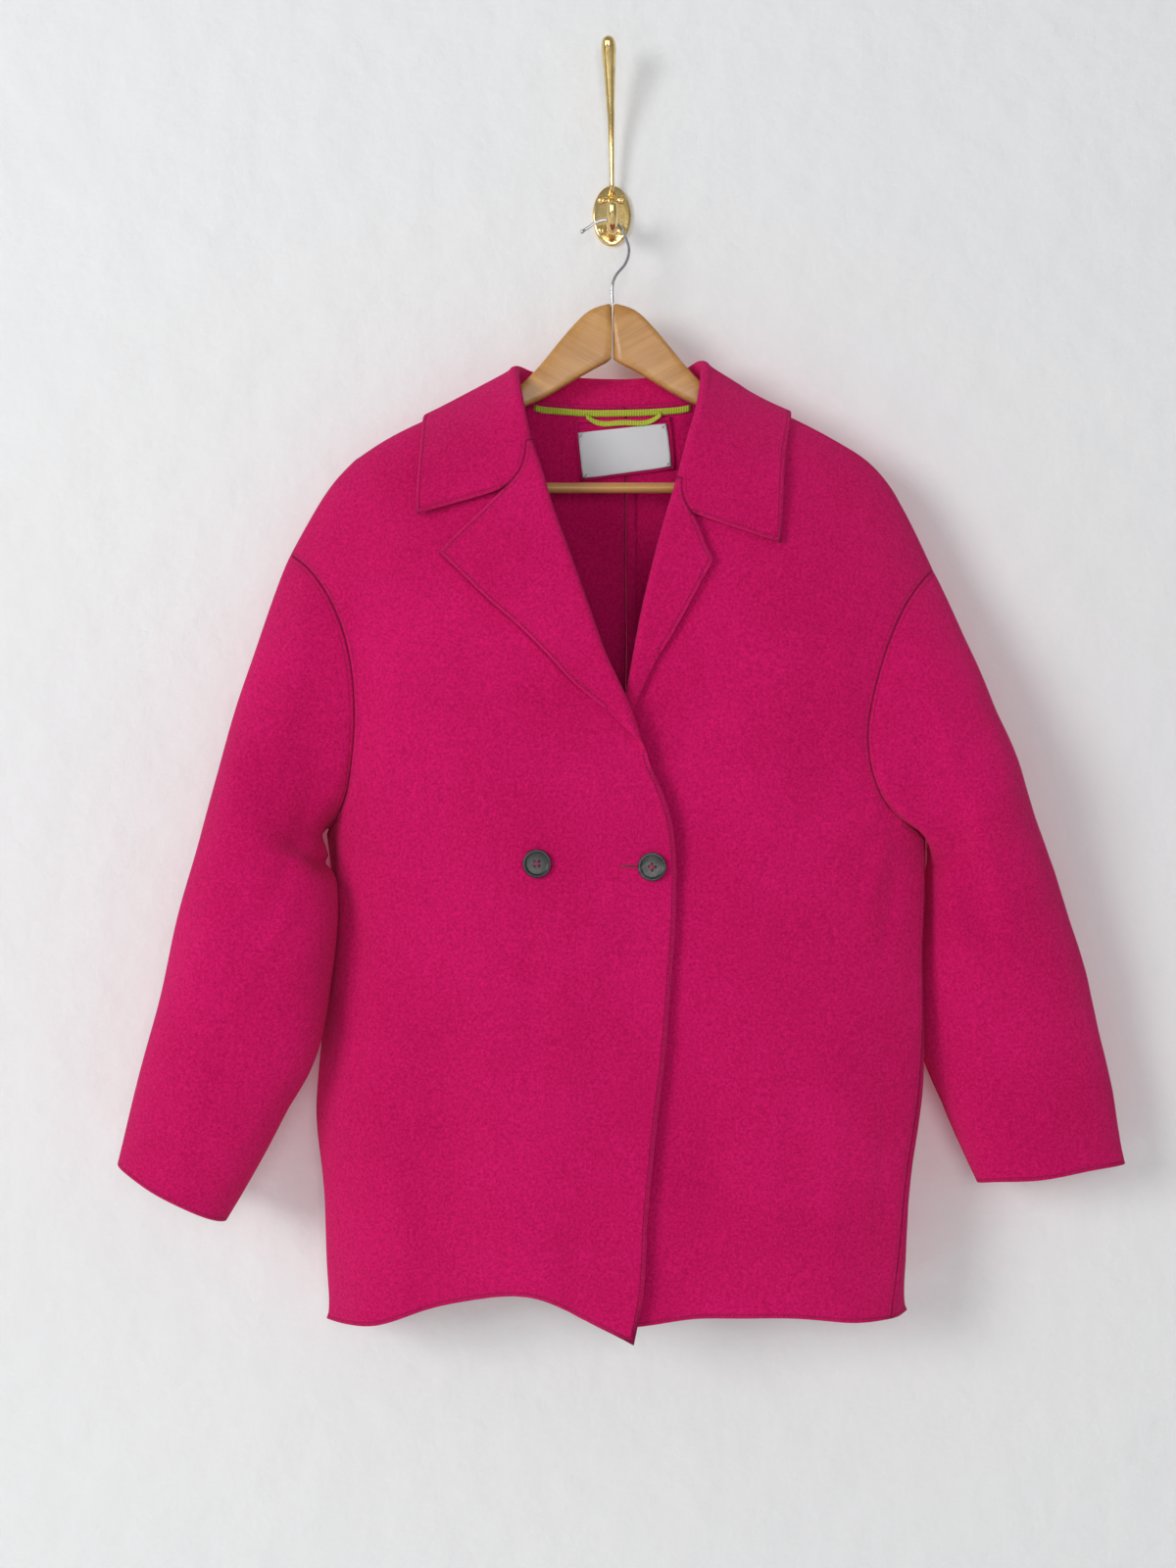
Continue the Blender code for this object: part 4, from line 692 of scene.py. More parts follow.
# %% [markdown]
# A machine stitch every three millimetres runs beside each raw edge and each seam, in thread of the
# cloth's own colour. It shows on both faces at a raw edge, since the thread goes through. Each
# stitch is a small spindle, laid on the cloth a few millimetres in from the edge, and a tree of the
# cloth's faces says where the surface is.

# %% Rows of stitching
PITCH, STITCH, STITCH_HALF = 3.1 * MM, 2.3 * MM, 0.26 * MM
STITCH_SINK = 0.06 * MM
CORNER_CLEAR = 0.8  # no stitch nearer to another edge than this share of its inset
SIDES_ROUND = 5


def thread(name, colour):
    paint = Finish(name, Roughness=0.7, Sheen_Weight=0.15)
    twist = paint.add("TexWave", {"wave_type": "BANDS"}, Vector=paint.place(turn=(0.6, 0.7, 0.3)),
                      Scale=700.0, Distortion=1.5).outputs["Fac"]
    paint.wire(paint.blend(twist, scaled(colour, 0.6), colour), "Base Color")
    paint.wire(paint.raised(twist, 0.0002), "Normal")
    return paint.material


PINK_THREAD = thread("pink_thread", (0.62, 0.016, 0.125, 1.0))


def spindle(points, faces, middle, along, up, long, thick):
    """Adds one stitch: two tips and a ring round the middle."""
    aside = np.cross(along, up)
    first = len(points)
    points.append(middle - along * long / 2)
    for n in range(SIDES_ROUND):
        a = 2 * math.pi * n / SIDES_ROUND
        points.append(middle + (aside * math.cos(a) + up * math.sin(a)) * thick)
    points.append(middle + along * long / 2)
    last = len(points) - 1
    for n in range(SIDES_ROUND):
        one, two = first + 1 + n, first + 1 + (n + 1) % SIDES_ROUND
        faces.append((first, two, one))
        faces.append((last, one, two))


def unit(vector):
    return vector / max(1e-12, np.linalg.norm(vector))


def new_piece(name, points, faces):
    mesh = bpy.data.meshes.new(name)
    mesh.from_pydata([tuple(p) for p in points], [], faces)
    mesh.update()
    return new_object(name, mesh)


def stitch_round(node):
    """The stitching of one piece, as a new object."""
    piece = cloth[node]
    ground = BVHTree.FromObject(piece, bpy.context.evaluated_depsgraph_get())
    raw = marks_along(node, False)
    edge_tree = tree_of(raw) if raw else None
    seams_too = node.startswith(("front", "back"))
    points, faces = [], []
    for loop, seam in zip(borders[node], sewn[node]):
        if seam.all() and not seams_too:
            continue
        steps = np.linalg.norm(np.roll(loop.points, -1, 0) - loop.points, axis=1)
        run = np.concatenate([[0.0], np.cumsum(steps)])
        for at in np.arange(PITCH / 2, run[-1], PITCH):
            n = int(np.searchsorted(run, at)) - 1
            after = (n + 1) % len(loop.points)
            here = loop.points[n] + (loop.points[after] - loop.points[n]) * (at - run[n]) / max(1e-9, steps[n])
            if seam[n] and not seams_too:
                continue
            inset = (SEAM_STITCH_IN if seam[n] else STITCH_IN) * MM
            along = unit(loop.points[after] - loop.points[n])
            spot, up, _, _ = ground.find_nearest(Vector(here + loop.inward[n] * inset))
            if not seam[n] and edge_tree and edge_tree.find(spot)[2] < inset * CORNER_CLEAR:
                continue
            up = np.array(up)
            along = unit(along - up * (along @ up))
            spindle(points, faces, np.array(spot) - up * STITCH_SINK, along, up, STITCH, STITCH_HALF)
    return new_piece(node + "_stitching", points, faces)


stitching = {node: dress(stitch_round(node), PINK_THREAD, []) for node in WOOLLENS}
print("stitches:", sum(len(p.data.polygons) for p in stitching.values()) // (2 * SIDES_ROUND))

# %% [markdown]
# Inside the back of the neck lie the small things that are seen through the open front: a narrow
# ribbed tape over the neck seam, a hanging loop of the same tape, a patch of the coat's own cloth
# and a plain white woven label, which carries no words here. The allowance of the centre-back seam
# runs down the lining-less inside as a narrow strip. The first four are finer copies of the frame's
# pieces. The strip is laid on the back with rays.

# %% Tape, loop, patch and label
def wave(paint, spot, axis, scale, **more):
    return paint.add("TexWave", {"bands_direction": axis}, Vector=spot, Scale=scale, **more).outputs["Fac"]


def ribbed_tape():
    paint = Finish("ribbed_tape", Roughness=0.62, Sheen_Weight=0.1, Specular_IOR_Level=0.35)
    spot = paint.place()
    ribs, along = wave(paint, spot, "X", 150.0, Distortion=0.6, Detail=1.0), wave(paint, spot, "Z", 260.0)
    weave = paint.sums("MULTIPLY", ribs, paint.ramp(along, 0.0, 1.0, 0.6, 1.0))
    paint.wire(paint.blend(weave, (0.30, 0.37, 0.02, 1), (0.58, 0.66, 0.05, 1)), "Base Color")
    paint.wire(paint.raised(weave, 0.0004), "Normal")
    return paint.material


def woven_label():
    paint = Finish("woven_label", Roughness=0.75, Sheen_Weight=0.08, Specular_IOR_Level=0.3)
    spot = paint.place()
    weave = paint.sums("MAXIMUM", wave(paint, spot, "X", 620.0, Distortion=0.4),
                       wave(paint, spot, "Z", 780.0, Distortion=0.4))
    tone = paint.sums("MULTIPLY", weave, paint.ramp(paint.noise(spot, 60.0), 0.3, 0.7, 0.8, 1.0))
    paint.wire(paint.blend(tone, (0.70, 0.72, 0.74, 1), (0.86, 0.88, 0.90, 1)), "Base Color")
    paint.wire(paint.raised(weave, 0.00015), "Normal")
    return paint.material


TAPE, LABEL = ribbed_tape(), woven_label()
tape = dress(smooth_copy("neck_tape", "ribbed_neck_tape", 2), TAPE, ["neck_tape"])
loop_piece = dress(smooth_copy("hanging_loop", "ribbed_hanging_loop", 2), TAPE, ["hanging_loop"])
patch_piece, patch_borders = smooth_copy("label_patch", "own_cloth_patch", 3, True)
dress(patch_piece, WOOL, ["label_patch"])
label_piece = dress(smooth_copy("label", "blank_label", 3), LABEL, ["label"])
patch_marks = [m for loop in patch_borders for m in filled(loop.points, np.ones(len(loop.points), bool))]
patch_spots = points_of(patch_piece)
store(patch_piece, distances(patch_spots, patch_marks), distances(patch_spots, []))
print("neck trim:", [p.name for p in (tape, loop_piece, patch_piece, label_piece)])

# %% [markdown]
# The label is caught at its corners with a few short tacks of pink and white thread. Small work
# like this is laid one by one: a point on the cloth is found by a ray from the front, and a stitch is
# put there with the same spindle as before. The allowance of the centre-back seam is a grid of such
# points, in two layers that are joined round the rim.

# %% Tacks on the label, and the seam allowance
LABEL_CORNERS = table("x z", [(-26.5, -191.5), (43.0, -184.5), (47.5, -215.0), (-22.5, -224.5)])
TACK_LONG, TACK_HALF, TACK_STEP, TACK_PROUD = 3.2 * MM, 0.22 * MM, 0.9, 0.15 * MM
ASIDE = 0.6 * MM  # how far a ray that is lost in a seam moves over
BEFORE_LABEL, BEFORE_BACK, BEFORE_COAT = -0.05, -0.04, -0.3  # depths from which rays start
WHITE_THREAD = thread("white_thread", (0.66, 0.66, 0.66, 1.0))
INTO_COAT = Vector((0.0, 1.0, 0.0))


def tree_on(pieces):
    """Trees of several pieces' faces, to cast rays at."""
    reading = bpy.context.evaluated_depsgraph_get()
    return [BVHTree.FromObject(piece, reading) for piece in pieces]


def first_hit(trees, x, z, start):
    """The first surface met from a depth on the way into the coat, as (point, normal)."""
    hits = []
    for aside in (0.0, ASIDE, -ASIDE):
        if not hits:
            hits = [tree.ray_cast(Vector((x + aside, start, z)), INTO_COAT) for tree in trees]
            hits = [h for h in hits if h[0] is not None]
    best = min(hits, key=lambda h: h[3])
    return np.array(best[0]), np.array(best[1])


def tack_label(name, material, slope):
    trees = tree_on([label_piece, patch_piece])
    points, faces = [], []
    for corner in LABEL_CORNERS:
        for n in range(3):
            over = (n - 1) * TACK_STEP
            spot, up = first_hit(trees, (corner.x + slope * over) * MM, (corner.z + over) * MM, BEFORE_LABEL)
            along = unit(np.array([1.0, 0.0, slope]))
            along = unit(along - up * (along @ up))
            spindle(points, faces, spot + up * TACK_PROUD, along, up, TACK_LONG, TACK_HALF)
    return dress(new_piece(name, points, faces), material, [])


tacks = [tack_label("pink_tacks", PINK_THREAD, 0.8), tack_label("white_tacks", WHITE_THREAD, -0.6)]
STRIP_X, STRIP_WIDE, STRIP_TOP, STRIP_FOOT, STRIP_THICK = 16.6, 8.0, -234.0, -896.0, 1.7
STRIP_COLUMNS, STRIP_ROWS = 4, 130
STRIP_CLEAR, STRIP_CURL, STRIP_WANDER = 0.25, 0.5, 0.35


def seam_allowance():
    trees = tree_on([cloth["back_left"], cloth["back_right"]])
    points, faces = [], []
    wander = np.random.default_rng(5).normal(size=6) * STRIP_WANDER
    for layer in (STRIP_CLEAR, STRIP_THICK):
        for r in range(STRIP_ROWS):
            z = STRIP_TOP + (STRIP_FOOT - STRIP_TOP) * r / (STRIP_ROWS - 1)
            for c in range(STRIP_COLUMNS):
                edge = sum(w * math.sin(z / (14.0 + 9 * k) + k) for k, w in enumerate(wander)) if c else 0.0
                across = c / (STRIP_COLUMNS - 1)
                x = STRIP_X + STRIP_WIDE * (across - 0.5) + edge
                spot, _ = first_hit(trees, x * MM, z * MM, BEFORE_BACK)
                curl = STRIP_CURL * across ** 2
                points.append(spot - np.array((0.0, (layer + curl) * MM, 0.0)))
    grid = STRIP_COLUMNS * STRIP_ROWS
    for r in range(STRIP_ROWS - 1):
        for c in range(STRIP_COLUMNS - 1):
            n = r * STRIP_COLUMNS + c
            faces.append((n, n + 1, n + 1 + STRIP_COLUMNS, n + STRIP_COLUMNS))
            faces.append(tuple(grid + k for k in (n, n + STRIP_COLUMNS, n + 1 + STRIP_COLUMNS, n + 1)))
    ids = np.arange(grid).reshape(STRIP_ROWS, STRIP_COLUMNS)
    rim = np.concatenate([ids[0], ids[1:, -1], ids[-1, -2::-1], ids[-2:0:-1, 0]]).tolist()
    for here, there in zip(rim, rim[1:] + rim[:1]):
        faces.append((here, here + grid, there + grid, there))
    strip = new_piece("seam_allowance", points, faces)
    store(strip, distances(points, []), distances(points, []))
    return strip


allowance = dress(seam_allowance(), WOOL, [])
print("laid", allowance.name, "and", [t.name for t in tacks])

# Each piece of cloth is dressed in the felt. The lengths listed for each piece are those of the paper
# pattern's rectangle round it; these tables, and what goes with each piece and what it lies on, are only
# listed, and nothing here reads them.

# %% The cut of each piece
for node, piece in cloth.items():
    dress(piece, WOOL, [node])


PATTERN = {"front_right": (0.40, 0.80), "front_left": (0.40, 0.80), "back_right": (0.29, 0.78),
           "back_left": (0.28, 0.78), "sleeve_right": (0.53, 0.52), "sleeve_left": (0.53, 0.50),
           "collar": (0.52, 0.13)}
GOES_WITH = {node: [] for node in PATTERN}
GOES_WITH["back_left"] = [tape, loop_piece, allowance]
LIES_ON = {"collar": ["back_left_cloth"]}
for side in SIDES:
    LIES_ON[f"front_{side}"] = LIES_ON[f"back_{side}"] = [f"hanger_arm_{side}"]
    LIES_ON[f"sleeve_{side}"] = [f"front_{side}_cloth"]

# %% [markdown]
# The two buttons are turned from horn-like plastic: a dished face inside a raised rim, four holes,
# and a cross of thread. A profile is spun round an axis, the holes are cut with a boolean, and the
# thread is laid through them. Horn has cloudy streaks in grey and brown, which come from a noise
# that is stretched one way.

# %% Buttons
BUTTONS = table("node turn streaks", [("button_right_side", 0.0, 0.25), ("button_left_side", math.pi / 4, 0.9)])
BUTTON_R, BUTTON_T, BUTTON_ROUND = 11.6, 4.0, 72
# (radius, height) from the middle of the back round the rim to the middle of the dish
BUTTON_PROFILE = [(0.0, 0.15), (9.0, 0.0), (10.6, 0.6), (11.35, 1.5), (BUTTON_R, 2.4), (11.5, 3.2), (11.1, 3.8),
                  (10.5, BUTTON_T), (9.9, 3.95), (9.4, 3.5), (8.9, 3.05), (8.0, 2.85), (4.0, 2.75), (0.0, 2.75)]
HOLE_R, HOLE_OUT, HOLE_SIDES, DRILL_LONG = 1.05, 2.6, 20, 12
STRANDS, STRAND_APART, STRAND_LONG, STRAND_HIGH, STRAND_STEP = 3, 0.42, 6.6, 2.95, 0.25


def horn(name, streaks):
    paint = Finish(name, Roughness=0.36, Coat_Weight=0.12, Coat_Roughness=0.25)
    cloud = paint.noise(paint.place((1.0, 1.0, 4.5), (0.2, 0.5, 0.4)), 75.0, 5.0, 0.6)
    share = paint.ramp(cloud, 0.42, 0.72, 0.0, streaks)
    paint.wire(paint.blend(share, (0.007, 0.0075, 0.008, 1), (0.085, 0.08, 0.072, 1)), "Base Color")
    fine = paint.noise(paint.place(), 900.0)
    paint.wire(paint.ramp(fine, 0.3, 0.7, 0.28, 0.5), "Roughness")
    paint.wire(paint.raised(fine, 0.00005), "Normal")
    return paint.material


TO_VIEWER = Matrix.Rotation(math.radians(90), 3, "X")  # turns what rises along Z to rise towards the viewer


def spun(name, profile, sides):
    """A turned solid from (radius, height) pairs in mm; it rises towards the viewer."""
    work = bmesh.new()
    dots = [work.verts.new((r * MM, 0.0, h * MM)) for r, h in profile]
    lines = [work.edges.new(pair) for pair in zip(dots, dots[1:])]
    bmesh.ops.spin(work, geom=dots + lines, cent=(0, 0, 0), axis=(0, 0, 1), angle=2 * math.pi, steps=sides)
    bmesh.ops.remove_doubles(work, verts=work.verts, dist=1e-6)
    bmesh.ops.rotate(work, verts=work.verts, cent=(0, 0, 0), matrix=TO_VIEWER)
    bmesh.ops.recalc_face_normals(work, faces=work.faces)
    return new_object(name, kept_mesh(name, work))


def cut_with(piece, makers):
    """Cuts the piece with a solid that the maker functions build in one mesh, and keeps the result."""
    work = bmesh.new()
    for maker in makers:
        maker(work)
    cutter = new_object("cutter", kept_mesh("cutter", work))
    cut = piece.modifiers.new("cut", "BOOLEAN")
    cut.object, cut.operation, cut.solver = cutter, "DIFFERENCE", "EXACT"
    bpy.context.view_layer.update()
    done = bpy.data.meshes.new_from_object(piece.evaluated_get(bpy.context.evaluated_depsgraph_get()))
    piece.modifiers.clear()
    piece.data = done
    bpy.data.objects.remove(cutter)


def drill(x, z):
    def add_hole(work):
        made = bmesh.ops.create_cone(work, cap_ends=True, segments=HOLE_SIDES, radius1=HOLE_R * MM,
                                     radius2=HOLE_R * MM, depth=DRILL_LONG * MM)["verts"]
        bmesh.ops.rotate(work, verts=made, cent=(0, 0, 0), matrix=TO_VIEWER)
        bmesh.ops.translate(work, verts=made, vec=(x * MM, 0, z * MM))
    return add_hole


def shade_by_angle(piece, degrees=35):
    piece.data.shade_smooth()
    work = bmesh.new()
    work.from_mesh(piece.data)
    for edge in work.edges:
        edge.smooth = edge.calc_face_angle(0.0) < math.radians(degrees)
    work.to_mesh(piece.data)
    work.free()


def thread_cross(name, middle, turn):
    """Strands from hole to opposite hole over the button's dish, and one down each hole to the cloth behind."""
    points, faces = [], []
    back = np.array((0.0, 1.0, 0.0))
    for pair in range(2):
        a = turn + math.pi / 4 + pair * math.pi / 2
        way = np.array((math.cos(a), 0.0, math.sin(a)))
        aside = np.cross(way, back)
        over = middle - back * (STRAND_HIGH + STRAND_STEP * pair) * MM
        for strand in range(STRANDS):
            off = aside * (strand - 1) * STRAND_APART * MM
            spindle(points, faces, over + off, way, -back, STRAND_LONG * MM, STRAND_APART * MM)
        for end in (-1, 1):
            hole = middle + way * end * HOLE_OUT * MM
            spindle(points, faces, hole - back * 0.9 * MM, back, way, 6.4 * MM, 0.8 * MM)
    return new_piece(name, points, faces)


for row in BUTTONS:
    low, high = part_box(row.node)
    seat = np.array(((low.x + high.x) / 2, high.y, (low.z + high.z) / 2))
    button = spun(row.node + "_turned", BUTTON_PROFILE, BUTTON_ROUND)
    angles = [row.turn + math.pi / 4 + n * math.pi / 2 for n in range(4)]
    cut_with(button, [drill(HOLE_OUT * math.cos(a), HOLE_OUT * math.sin(a)) for a in angles])
    button.data.transform(Matrix.Translation(seat))
    dress(button, horn(row.node + "_horn", row.streaks), [row.node])
    shade_by_angle(button)
    dress(thread_cross(row.node + "_thread", seat, row.turn), PINK_THREAD, [])
    print(row.node, "is", round(2 * BUTTON_R, 1), "mm across and", BUTTON_T, "thick")

# %% [markdown]
# The fastened button has come through a buttonhole, whose outer end shows beside it: a short slit,
# bound on both sides with close satin stitches and ended with a bar tack. The dark slit is a sunk
# lens of deep shade between them.

# %% Buttonhole
HOLE_FROM, HOLE_TO = (8.2, -552.0), (20.0, -552.4)
BIND_PITCH, BIND_LONG, BIND_HALF, BIND_OUT, BIND_LEAN = 0.75, 1.7, 0.36, 1.15, 0.15
TACKS, TACK_PITCH, BAR_LONG, BAR_HALF = 4, 0.5, 3.9, 0.34
SLIT_LONG, SLIT_HALF = 11.4, 0.5


def buttonhole():
    trees = tree_on([cloth["front_right"]])
    points, faces = [], []
    start, stop = np.array(HOLE_FROM), np.array(HOLE_TO)
    way = (stop - start) / np.linalg.norm(stop - start)
    aside = np.array((-way[1], way[0]))
    across = np.array((aside[0], 0.0, aside[1]))
    leaning = unit(across + np.array((way[0], 0, way[1])) * BIND_LEAN)
    for n in range(int(np.linalg.norm(stop - start) / BIND_PITCH)):
        for edge in (-1, 1):
            x, z = start + way * n * BIND_PITCH + aside * edge * BIND_OUT
            spot, up = first_hit(trees, x * MM, z * MM, BEFORE_COAT)
            spindle(points, faces, spot + up * 0.1 * MM, leaning, up, BIND_LONG * MM, BIND_HALF * MM)
    for n in range(TACKS):
        x, z = start - way * TACK_PITCH * (1 + n)
        spot, up = first_hit(trees, x * MM, z * MM, BEFORE_COAT)
        spindle(points, faces, spot + up * 0.2 * MM, across, up, BAR_LONG * MM, BAR_HALF * MM)
    return new_piece("buttonhole_binding", points, faces)


def slit():
    trees = tree_on([cloth["front_right"]])
    middle = (np.array(HOLE_FROM) + np.array(HOLE_TO)) / 2
    spot, up = first_hit(trees, middle[0] * MM, middle[1] * MM, BEFORE_COAT)
    points, faces = [], []
    way = np.array((1.0, 0.0, -0.03))
    spindle(points, faces, spot + up * 0.02 * MM, way, up, SLIT_LONG * MM, SLIT_HALF * MM)
    return new_piece("buttonhole_slit", points, faces)


dress(buttonhole(), PINK_THREAD, [])
SLIT_SHADE = thread("slit_shade", (0.05, 0.001, 0.008, 1.0))
dress(slit(), SLIT_SHADE, [])
print("bound the buttonhole")

# %% [markdown]
# The hanger is two arms of light hardwood, sawn from board, rounded over and glued in the middle,
# with a round bar between them and a wire hook. Its shape in the frame is right, so a finer copy of
# each arm is enough. Wood shows long grain along each arm: a noise drawn out along it for the rings
# and a finer one for the pores, under varnish.

# %% Wooden arms and bar
WOOD_COLOURS = [(0.56, 0.285, 0.078), (0.39, 0.17, 0.036), (0.50, 0.23, 0.07)]


def hardwood(name, turn, tint=1.0):
    paint = Finish(name, Roughness=0.38, Coat_Weight=0.2, Coat_Roughness=0.3)
    rings = paint.noise(paint.place((1.0, 11.0, 11.0), (0.0, turn, 0.0)), 11.0, 3.0, 0.55)
    pores = paint.noise(paint.place((1.0, 26.0, 26.0), (0.0, turn, 0.0)), 34.0, 4.0, 0.6)
    share = paint.sums("ADD", paint.sums("MULTIPLY", rings, 0.6), paint.sums("MULTIPLY", pores, 0.4))
    light, dark, middle = (scaled(colour, tint) for colour in WOOD_COLOURS)
    slow = paint.ramp(paint.noise(paint.place(), 14.0), 0.35, 0.7, 0.0, 0.3)
    tone = paint.blend(slow, paint.blend(paint.ramp(share, 0.36, 0.66), light, dark), middle)
    paint.wire(tone, "Base Color")
    paint.wire(paint.raised(share, 0.00018), "Normal")
    return paint.material


ARM_SLOPE = math.radians(29)
for side, way in SIDES.items():
    arm = smooth_copy(f"hanger_arm_{side}", f"wooden_arm_{side}", 1)
    dress(arm, hardwood(f"hardwood_{side}", way * ARM_SLOPE), [f"hanger_arm_{side}"])
    shade_by_angle(arm, 40)


def tube(name, rows, fineness=8):
    """A round bar along rows of (x, y, z, radius) in mm, as a curve with closed ends."""
    curve = bpy.data.curves.new(name, "CURVE")
    curve.dimensions = "3D"
    curve.bevel_depth = MM
    curve.bevel_resolution = fineness
    curve.use_fill_caps = True
    line = curve.splines.new("POLY")
    line.points.add(len(rows) - 1)
    for dot, row in zip(line.points, rows):
        dot.co = (row[0] * MM, row[1] * MM, row[2] * MM, 1.0)
        dot.radius = row[3]
    return new_object(name, curve)


def flowing(rows, between=6):
    """Rows in between, on a smooth curve through the given ones."""
    rows = np.array(rows, float)
    before = np.vstack([2 * rows[0] - rows[1], rows])[:-1]
    ends = np.vstack([rows, 2 * rows[-1] - rows[-2]])
    made = []
    for n in range(len(rows) - 1):
        p0, p1, p2, p3 = (before[n], rows[n], rows[n + 1], ends[n + 2])
        for t in np.linspace(0, 1, between, endpoint=False):
            made.append(0.5 * (2 * p1 + (p2 - p0) * t + (2 * p0 - 5 * p1 + 4 * p2 - p3) * t * t
                               + (3 * p1 - p0 - 3 * p2 + p3) * t ** 3))
    made.append(rows[-1])
    return made


BAR = [(-192.0, -47.0, -238.5, 4.4), (0.0, -47.0, -238.5, 4.4), (192.0, -47.0, -238.5, 4.4)]
dress(tube("wooden_bar", flowing(BAR, 12), 10), hardwood("bar_wood", 0.0, 1.05), ["trouser_bar"])
print("two arms and a bar of wood")

# %% [markdown]
# The hook is one length of plated steel wire, bent to a question mark with a small ball at its tip.
# A curve with a round section is how wire is made in Blender: its points are the bends. Plating is
# a bright metal, whose roughness varies a little where it is rubbed.

# %% Wire hook
def metal(name, colour, worn, rough, rubbed, scale):
    paint = Finish(name, Metallic=1.0)
    cloud = paint.noise(paint.place(), scale, 5.0, 0.6)
    paint.wire(paint.blend(paint.ramp(cloud, 0.35, 0.7), colour, worn), "Base Color")
    paint.wire(paint.ramp(cloud, 0.3, 0.75, rough, rubbed), "Roughness")
    paint.wire(paint.raised(paint.noise(paint.place(), scale * 6, 3.0), 0.00004), "Normal")
    return paint.material


WIRE = [(-25.3, -36, -21.5), (-20.5, -36, -18.5), (-14, -36, -14), (-9, -36, -12.3), (-4.5, -36, -11.9),
        (2.5, -36.5, -13.4), (8, -38, -20.5), (11.5, -40, -29), (13.8, -42, -37), (13, -44, -45),
        (10, -45.5, -52), (3.5, -46.7, -60), (0.5, -47, -66.5), (-0.4, -47, -73), (0, -47, -84)]
WIRE_R = 1.3
TIP_ROWS = 4  # the ball takes the place of so many rows at the wire's start
wire_rows = [tuple(r) + (WIRE_R,) for r in flowing(WIRE, 8)]
tip = [(-27.0, -36.0, -22.5, 0.3), (-26.6, -36.0, -22.3, 1.2), (-25.9, -36.0, -21.9, 1.75),
       (-25.0, -36.0, -21.3, 1.8), (-24.2, -36.0, -20.85, 1.4)]
PLATED = metal("bright_plating", (0.62, 0.62, 0.64, 1), (0.45, 0.45, 0.47, 1), 0.10, 0.24, 160.0)
dress(tube("wire_hook", tip + wire_rows[TIP_ROWS:], 8), PLATED, ["hanger_hook"])
print("bent the wire through", len(WIRE), "points")

# %% [markdown]
# The wall hook is cast and polished brass: an oval plate with a rounded edge, a long tapering upper
# prong that ends in a ball, and a short upturned lower one, which the wire hangs behind. The plate
# is lofted from ovals, and the prongs are tapering tubes. Polish leaves soft reflections of two
# tones, so the brass has a slightly darker, duller tone where it has tarnished.

# %% Brass plate and prongs
BRASS = metal("polished_brass", (0.86, 0.66, 0.30, 1), (0.60, 0.40, 0.14, 1), 0.09, 0.26, 90.0)
PLATE_W, PLATE_H, OVAL_STEPS = 33.0, 52.0, 96
PLATE_T = 3.4
PLATE_LEVELS = [(1.0, 0.0), (1.0, 1.5), (0.993, 2.2), (0.972, 2.8), (0.93, 3.2), (0.86, PLATE_T),
                (0.6, PLATE_T), (0.3, PLATE_T)]


def oval_plate():
    points = []
    for share, height in PLATE_LEVELS:
        for a in np.linspace(0, 2 * math.pi, OVAL_STEPS, endpoint=False):
            x, z = PLATE_W / 2 * share * math.cos(a), PLATE_H / 2 * share * math.sin(a)
            points.append((x * MM, -height * MM, z * MM))
    faces = [tuple(range(OVAL_STEPS)), tuple(range(len(points) - 1, len(points) - OVAL_STEPS - 1, -1))]
    for level in range(len(PLATE_LEVELS) - 1):
        for n in range(OVAL_STEPS):
            a, b = level * OVAL_STEPS + n, level * OVAL_STEPS + (n + 1) % OVAL_STEPS
            faces.append((a, b, b + OVAL_STEPS, a + OVAL_STEPS)[::-1])
    return new_piece("brass_plate", points, faces)


plate = dress(oval_plate(), BRASS, ["wall_plate"])
shade_by_angle(plate, 45)
# (x, y, z, radius) from the plate to the tip
UPPER = [(0, -3.4, 18.4, 2.9), (0, -4.4, 18.6, 2.6), (0, -5.6, 19, 2.2), (-0.1, -9.5, 23, 2.1),
         (-0.2, -11, 32, 2), (-0.4, -13, 50, 2.1), (-0.9, -18, 74, 2.8), (-1.8, -25, 98, 3.9),
         (-2.6, -33, 120, 5.3), (-3.1, -38.5, 132, 6.1), (-3.4, -41, 137.5, 5.2), (-3.55, -42.1, 139.9, 3.6),
         (-3.6, -42.6, 141, 1.6), (-3.62, -42.7, 141.2, 0.2)]
LOWER = [(0, -3.4, 13, 3.2), (0, -4.4, 12.5, 2.8), (0, -5.4, 12, 2.4), (0, -10, 8, 2.6), (0, -16, -1, 3),
         (0, -22, -11, 3.6), (0, -29, -17.5, 4), (0, -36, -19.6, 4.2), (0, -43, -17.5, 4.3),
         (0, -48.5, -11, 4.4), (0, -50.5, -4.0, 4.1), (0, -50.8, -1.6, 3.2), (0, -50.9, -0.3, 1.6),
         (0, -50.9, 0.1, 0.2)]
dress(tube("brass_upper_prong", flowing(UPPER, 8), 10), BRASS, ["upper_prong"])
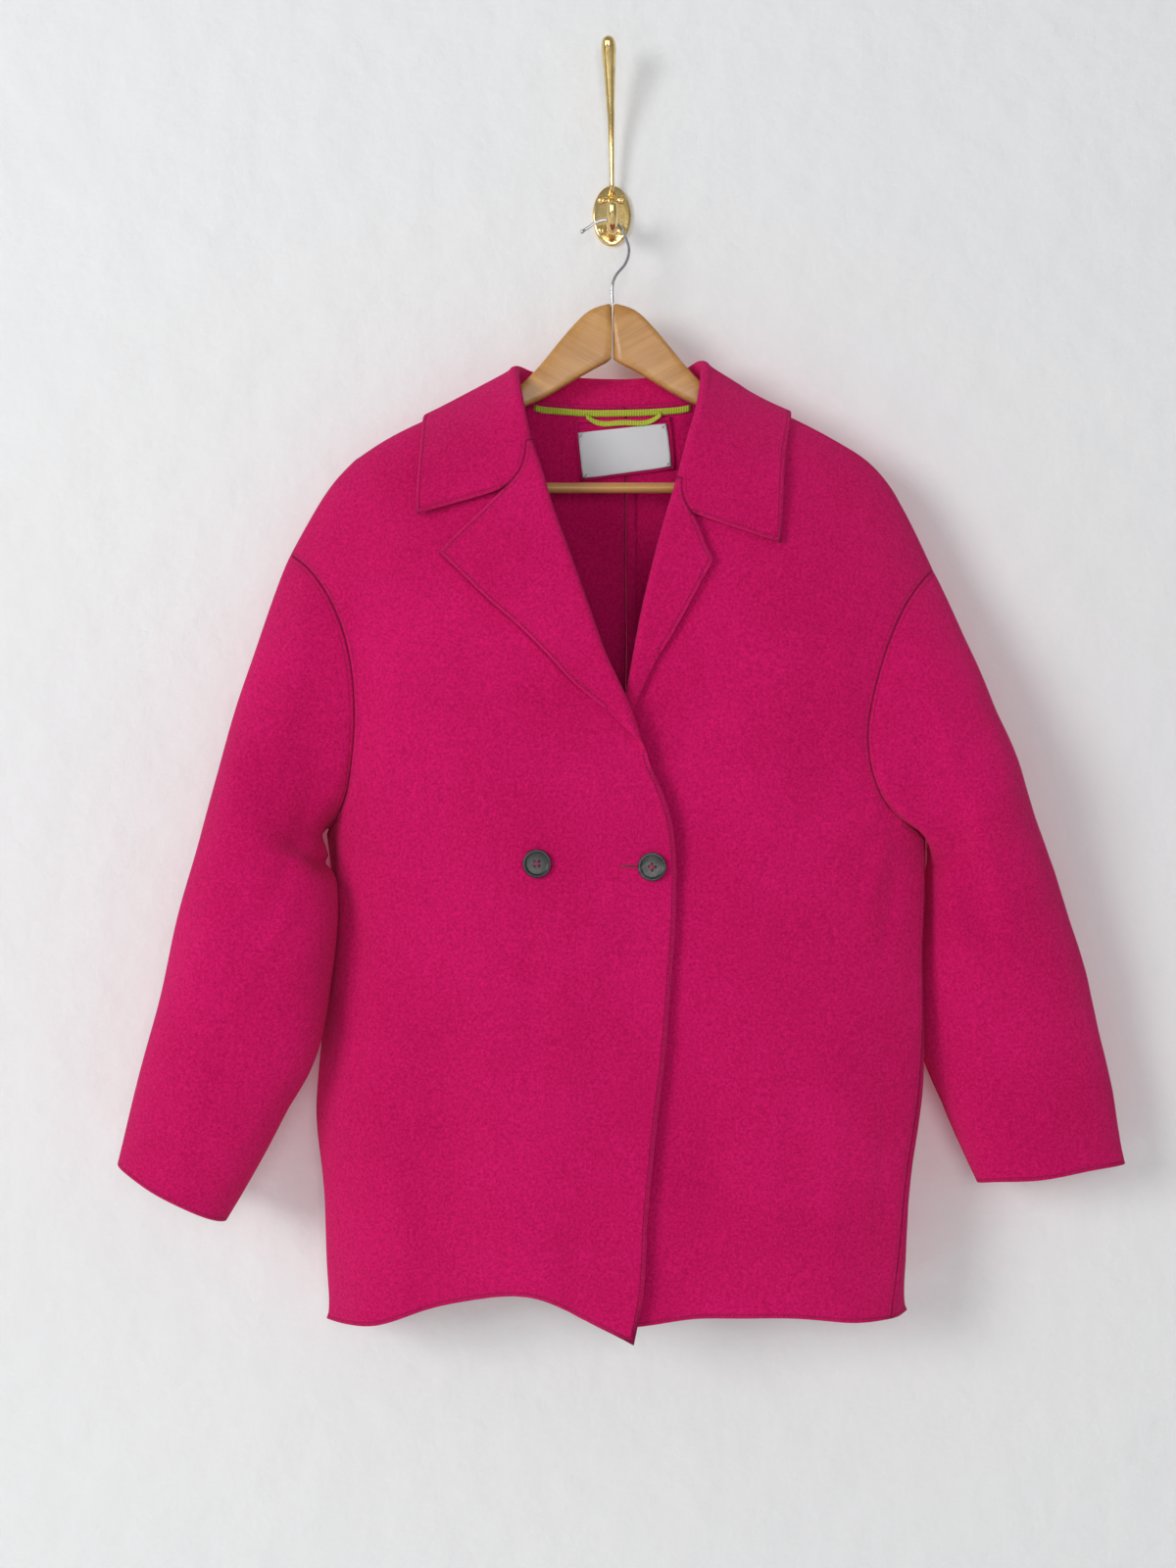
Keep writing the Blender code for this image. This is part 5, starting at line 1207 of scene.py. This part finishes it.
dress(tube("brass_lower_prong", flowing(LOWER, 8), 10), BRASS, ["lower_prong"])
print("a plate and two prongs of brass")

# %% [markdown]
# Four screws hold the plate, one near each corner of the oval. A screw's head is turned like the
# buttons, from half its outline, and its cross is cut with two bars. Each is driven home at its own
# angle, so each cross is turned differently.

# %% Cross-headed screws
SCREWS = table("node x z turn", [("screw_1", -8.4, 13.6, 0.1), ("screw_2", 8.3, 13.6, 0.0),
                                 ("screw_3", -8.4, -12.2, 0.5), ("screw_4", 8.3, -12.8, 0.75)])
HEAD = [(0.0, -0.3), (4.0, -0.3), (4.1, 0.0), (4.0, 0.45), (3.6, 0.9), (2.9, 1.35), (1.8, 1.7), (0.9, 1.82),
        (0.0, 1.85)]
HEAD_OUT, HEAD_SIDES = 3.7, 40  # the head's foot is just off the plate
SLOT_LONG, SLOT_WIDE, SLOT_FLOOR, SLOT_TALL = 4.6, 0.95, 0.55, 4


def slot_bar(turn):
    def add_bar(work):
        made = bmesh.ops.create_cube(work, size=1.0)["verts"]
        bmesh.ops.scale(work, verts=made, vec=(SLOT_LONG * MM, SLOT_TALL * MM, SLOT_WIDE * MM))
        bmesh.ops.rotate(work, verts=made, cent=(0, 0, 0), matrix=Matrix.Rotation(turn, 3, "Y"))
        bmesh.ops.translate(work, verts=made, vec=(0, -(SLOT_FLOOR + SLOT_TALL / 2) * MM, 0))
    return add_bar


for row in SCREWS:
    screw = spun(row.node + "_head", HEAD, HEAD_SIDES)
    for turn in (row.turn, row.turn + math.pi / 2):
        cut_with(screw, [slot_bar(turn)])
    screw.data.transform(Matrix.Translation((row.x * MM, -HEAD_OUT * MM, row.z * MM)))
    dress(screw, BRASS, [row.node])
    shade_by_angle(screw, 30)
print("four screws")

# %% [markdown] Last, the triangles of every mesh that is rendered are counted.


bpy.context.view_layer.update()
meshes = [o.data for o in scene.objects if o.type == "MESH" and not o.hide_render]
print("triangles in all:", sum(len(face.vertices) - 2 for mesh in meshes for face in mesh.polygons))
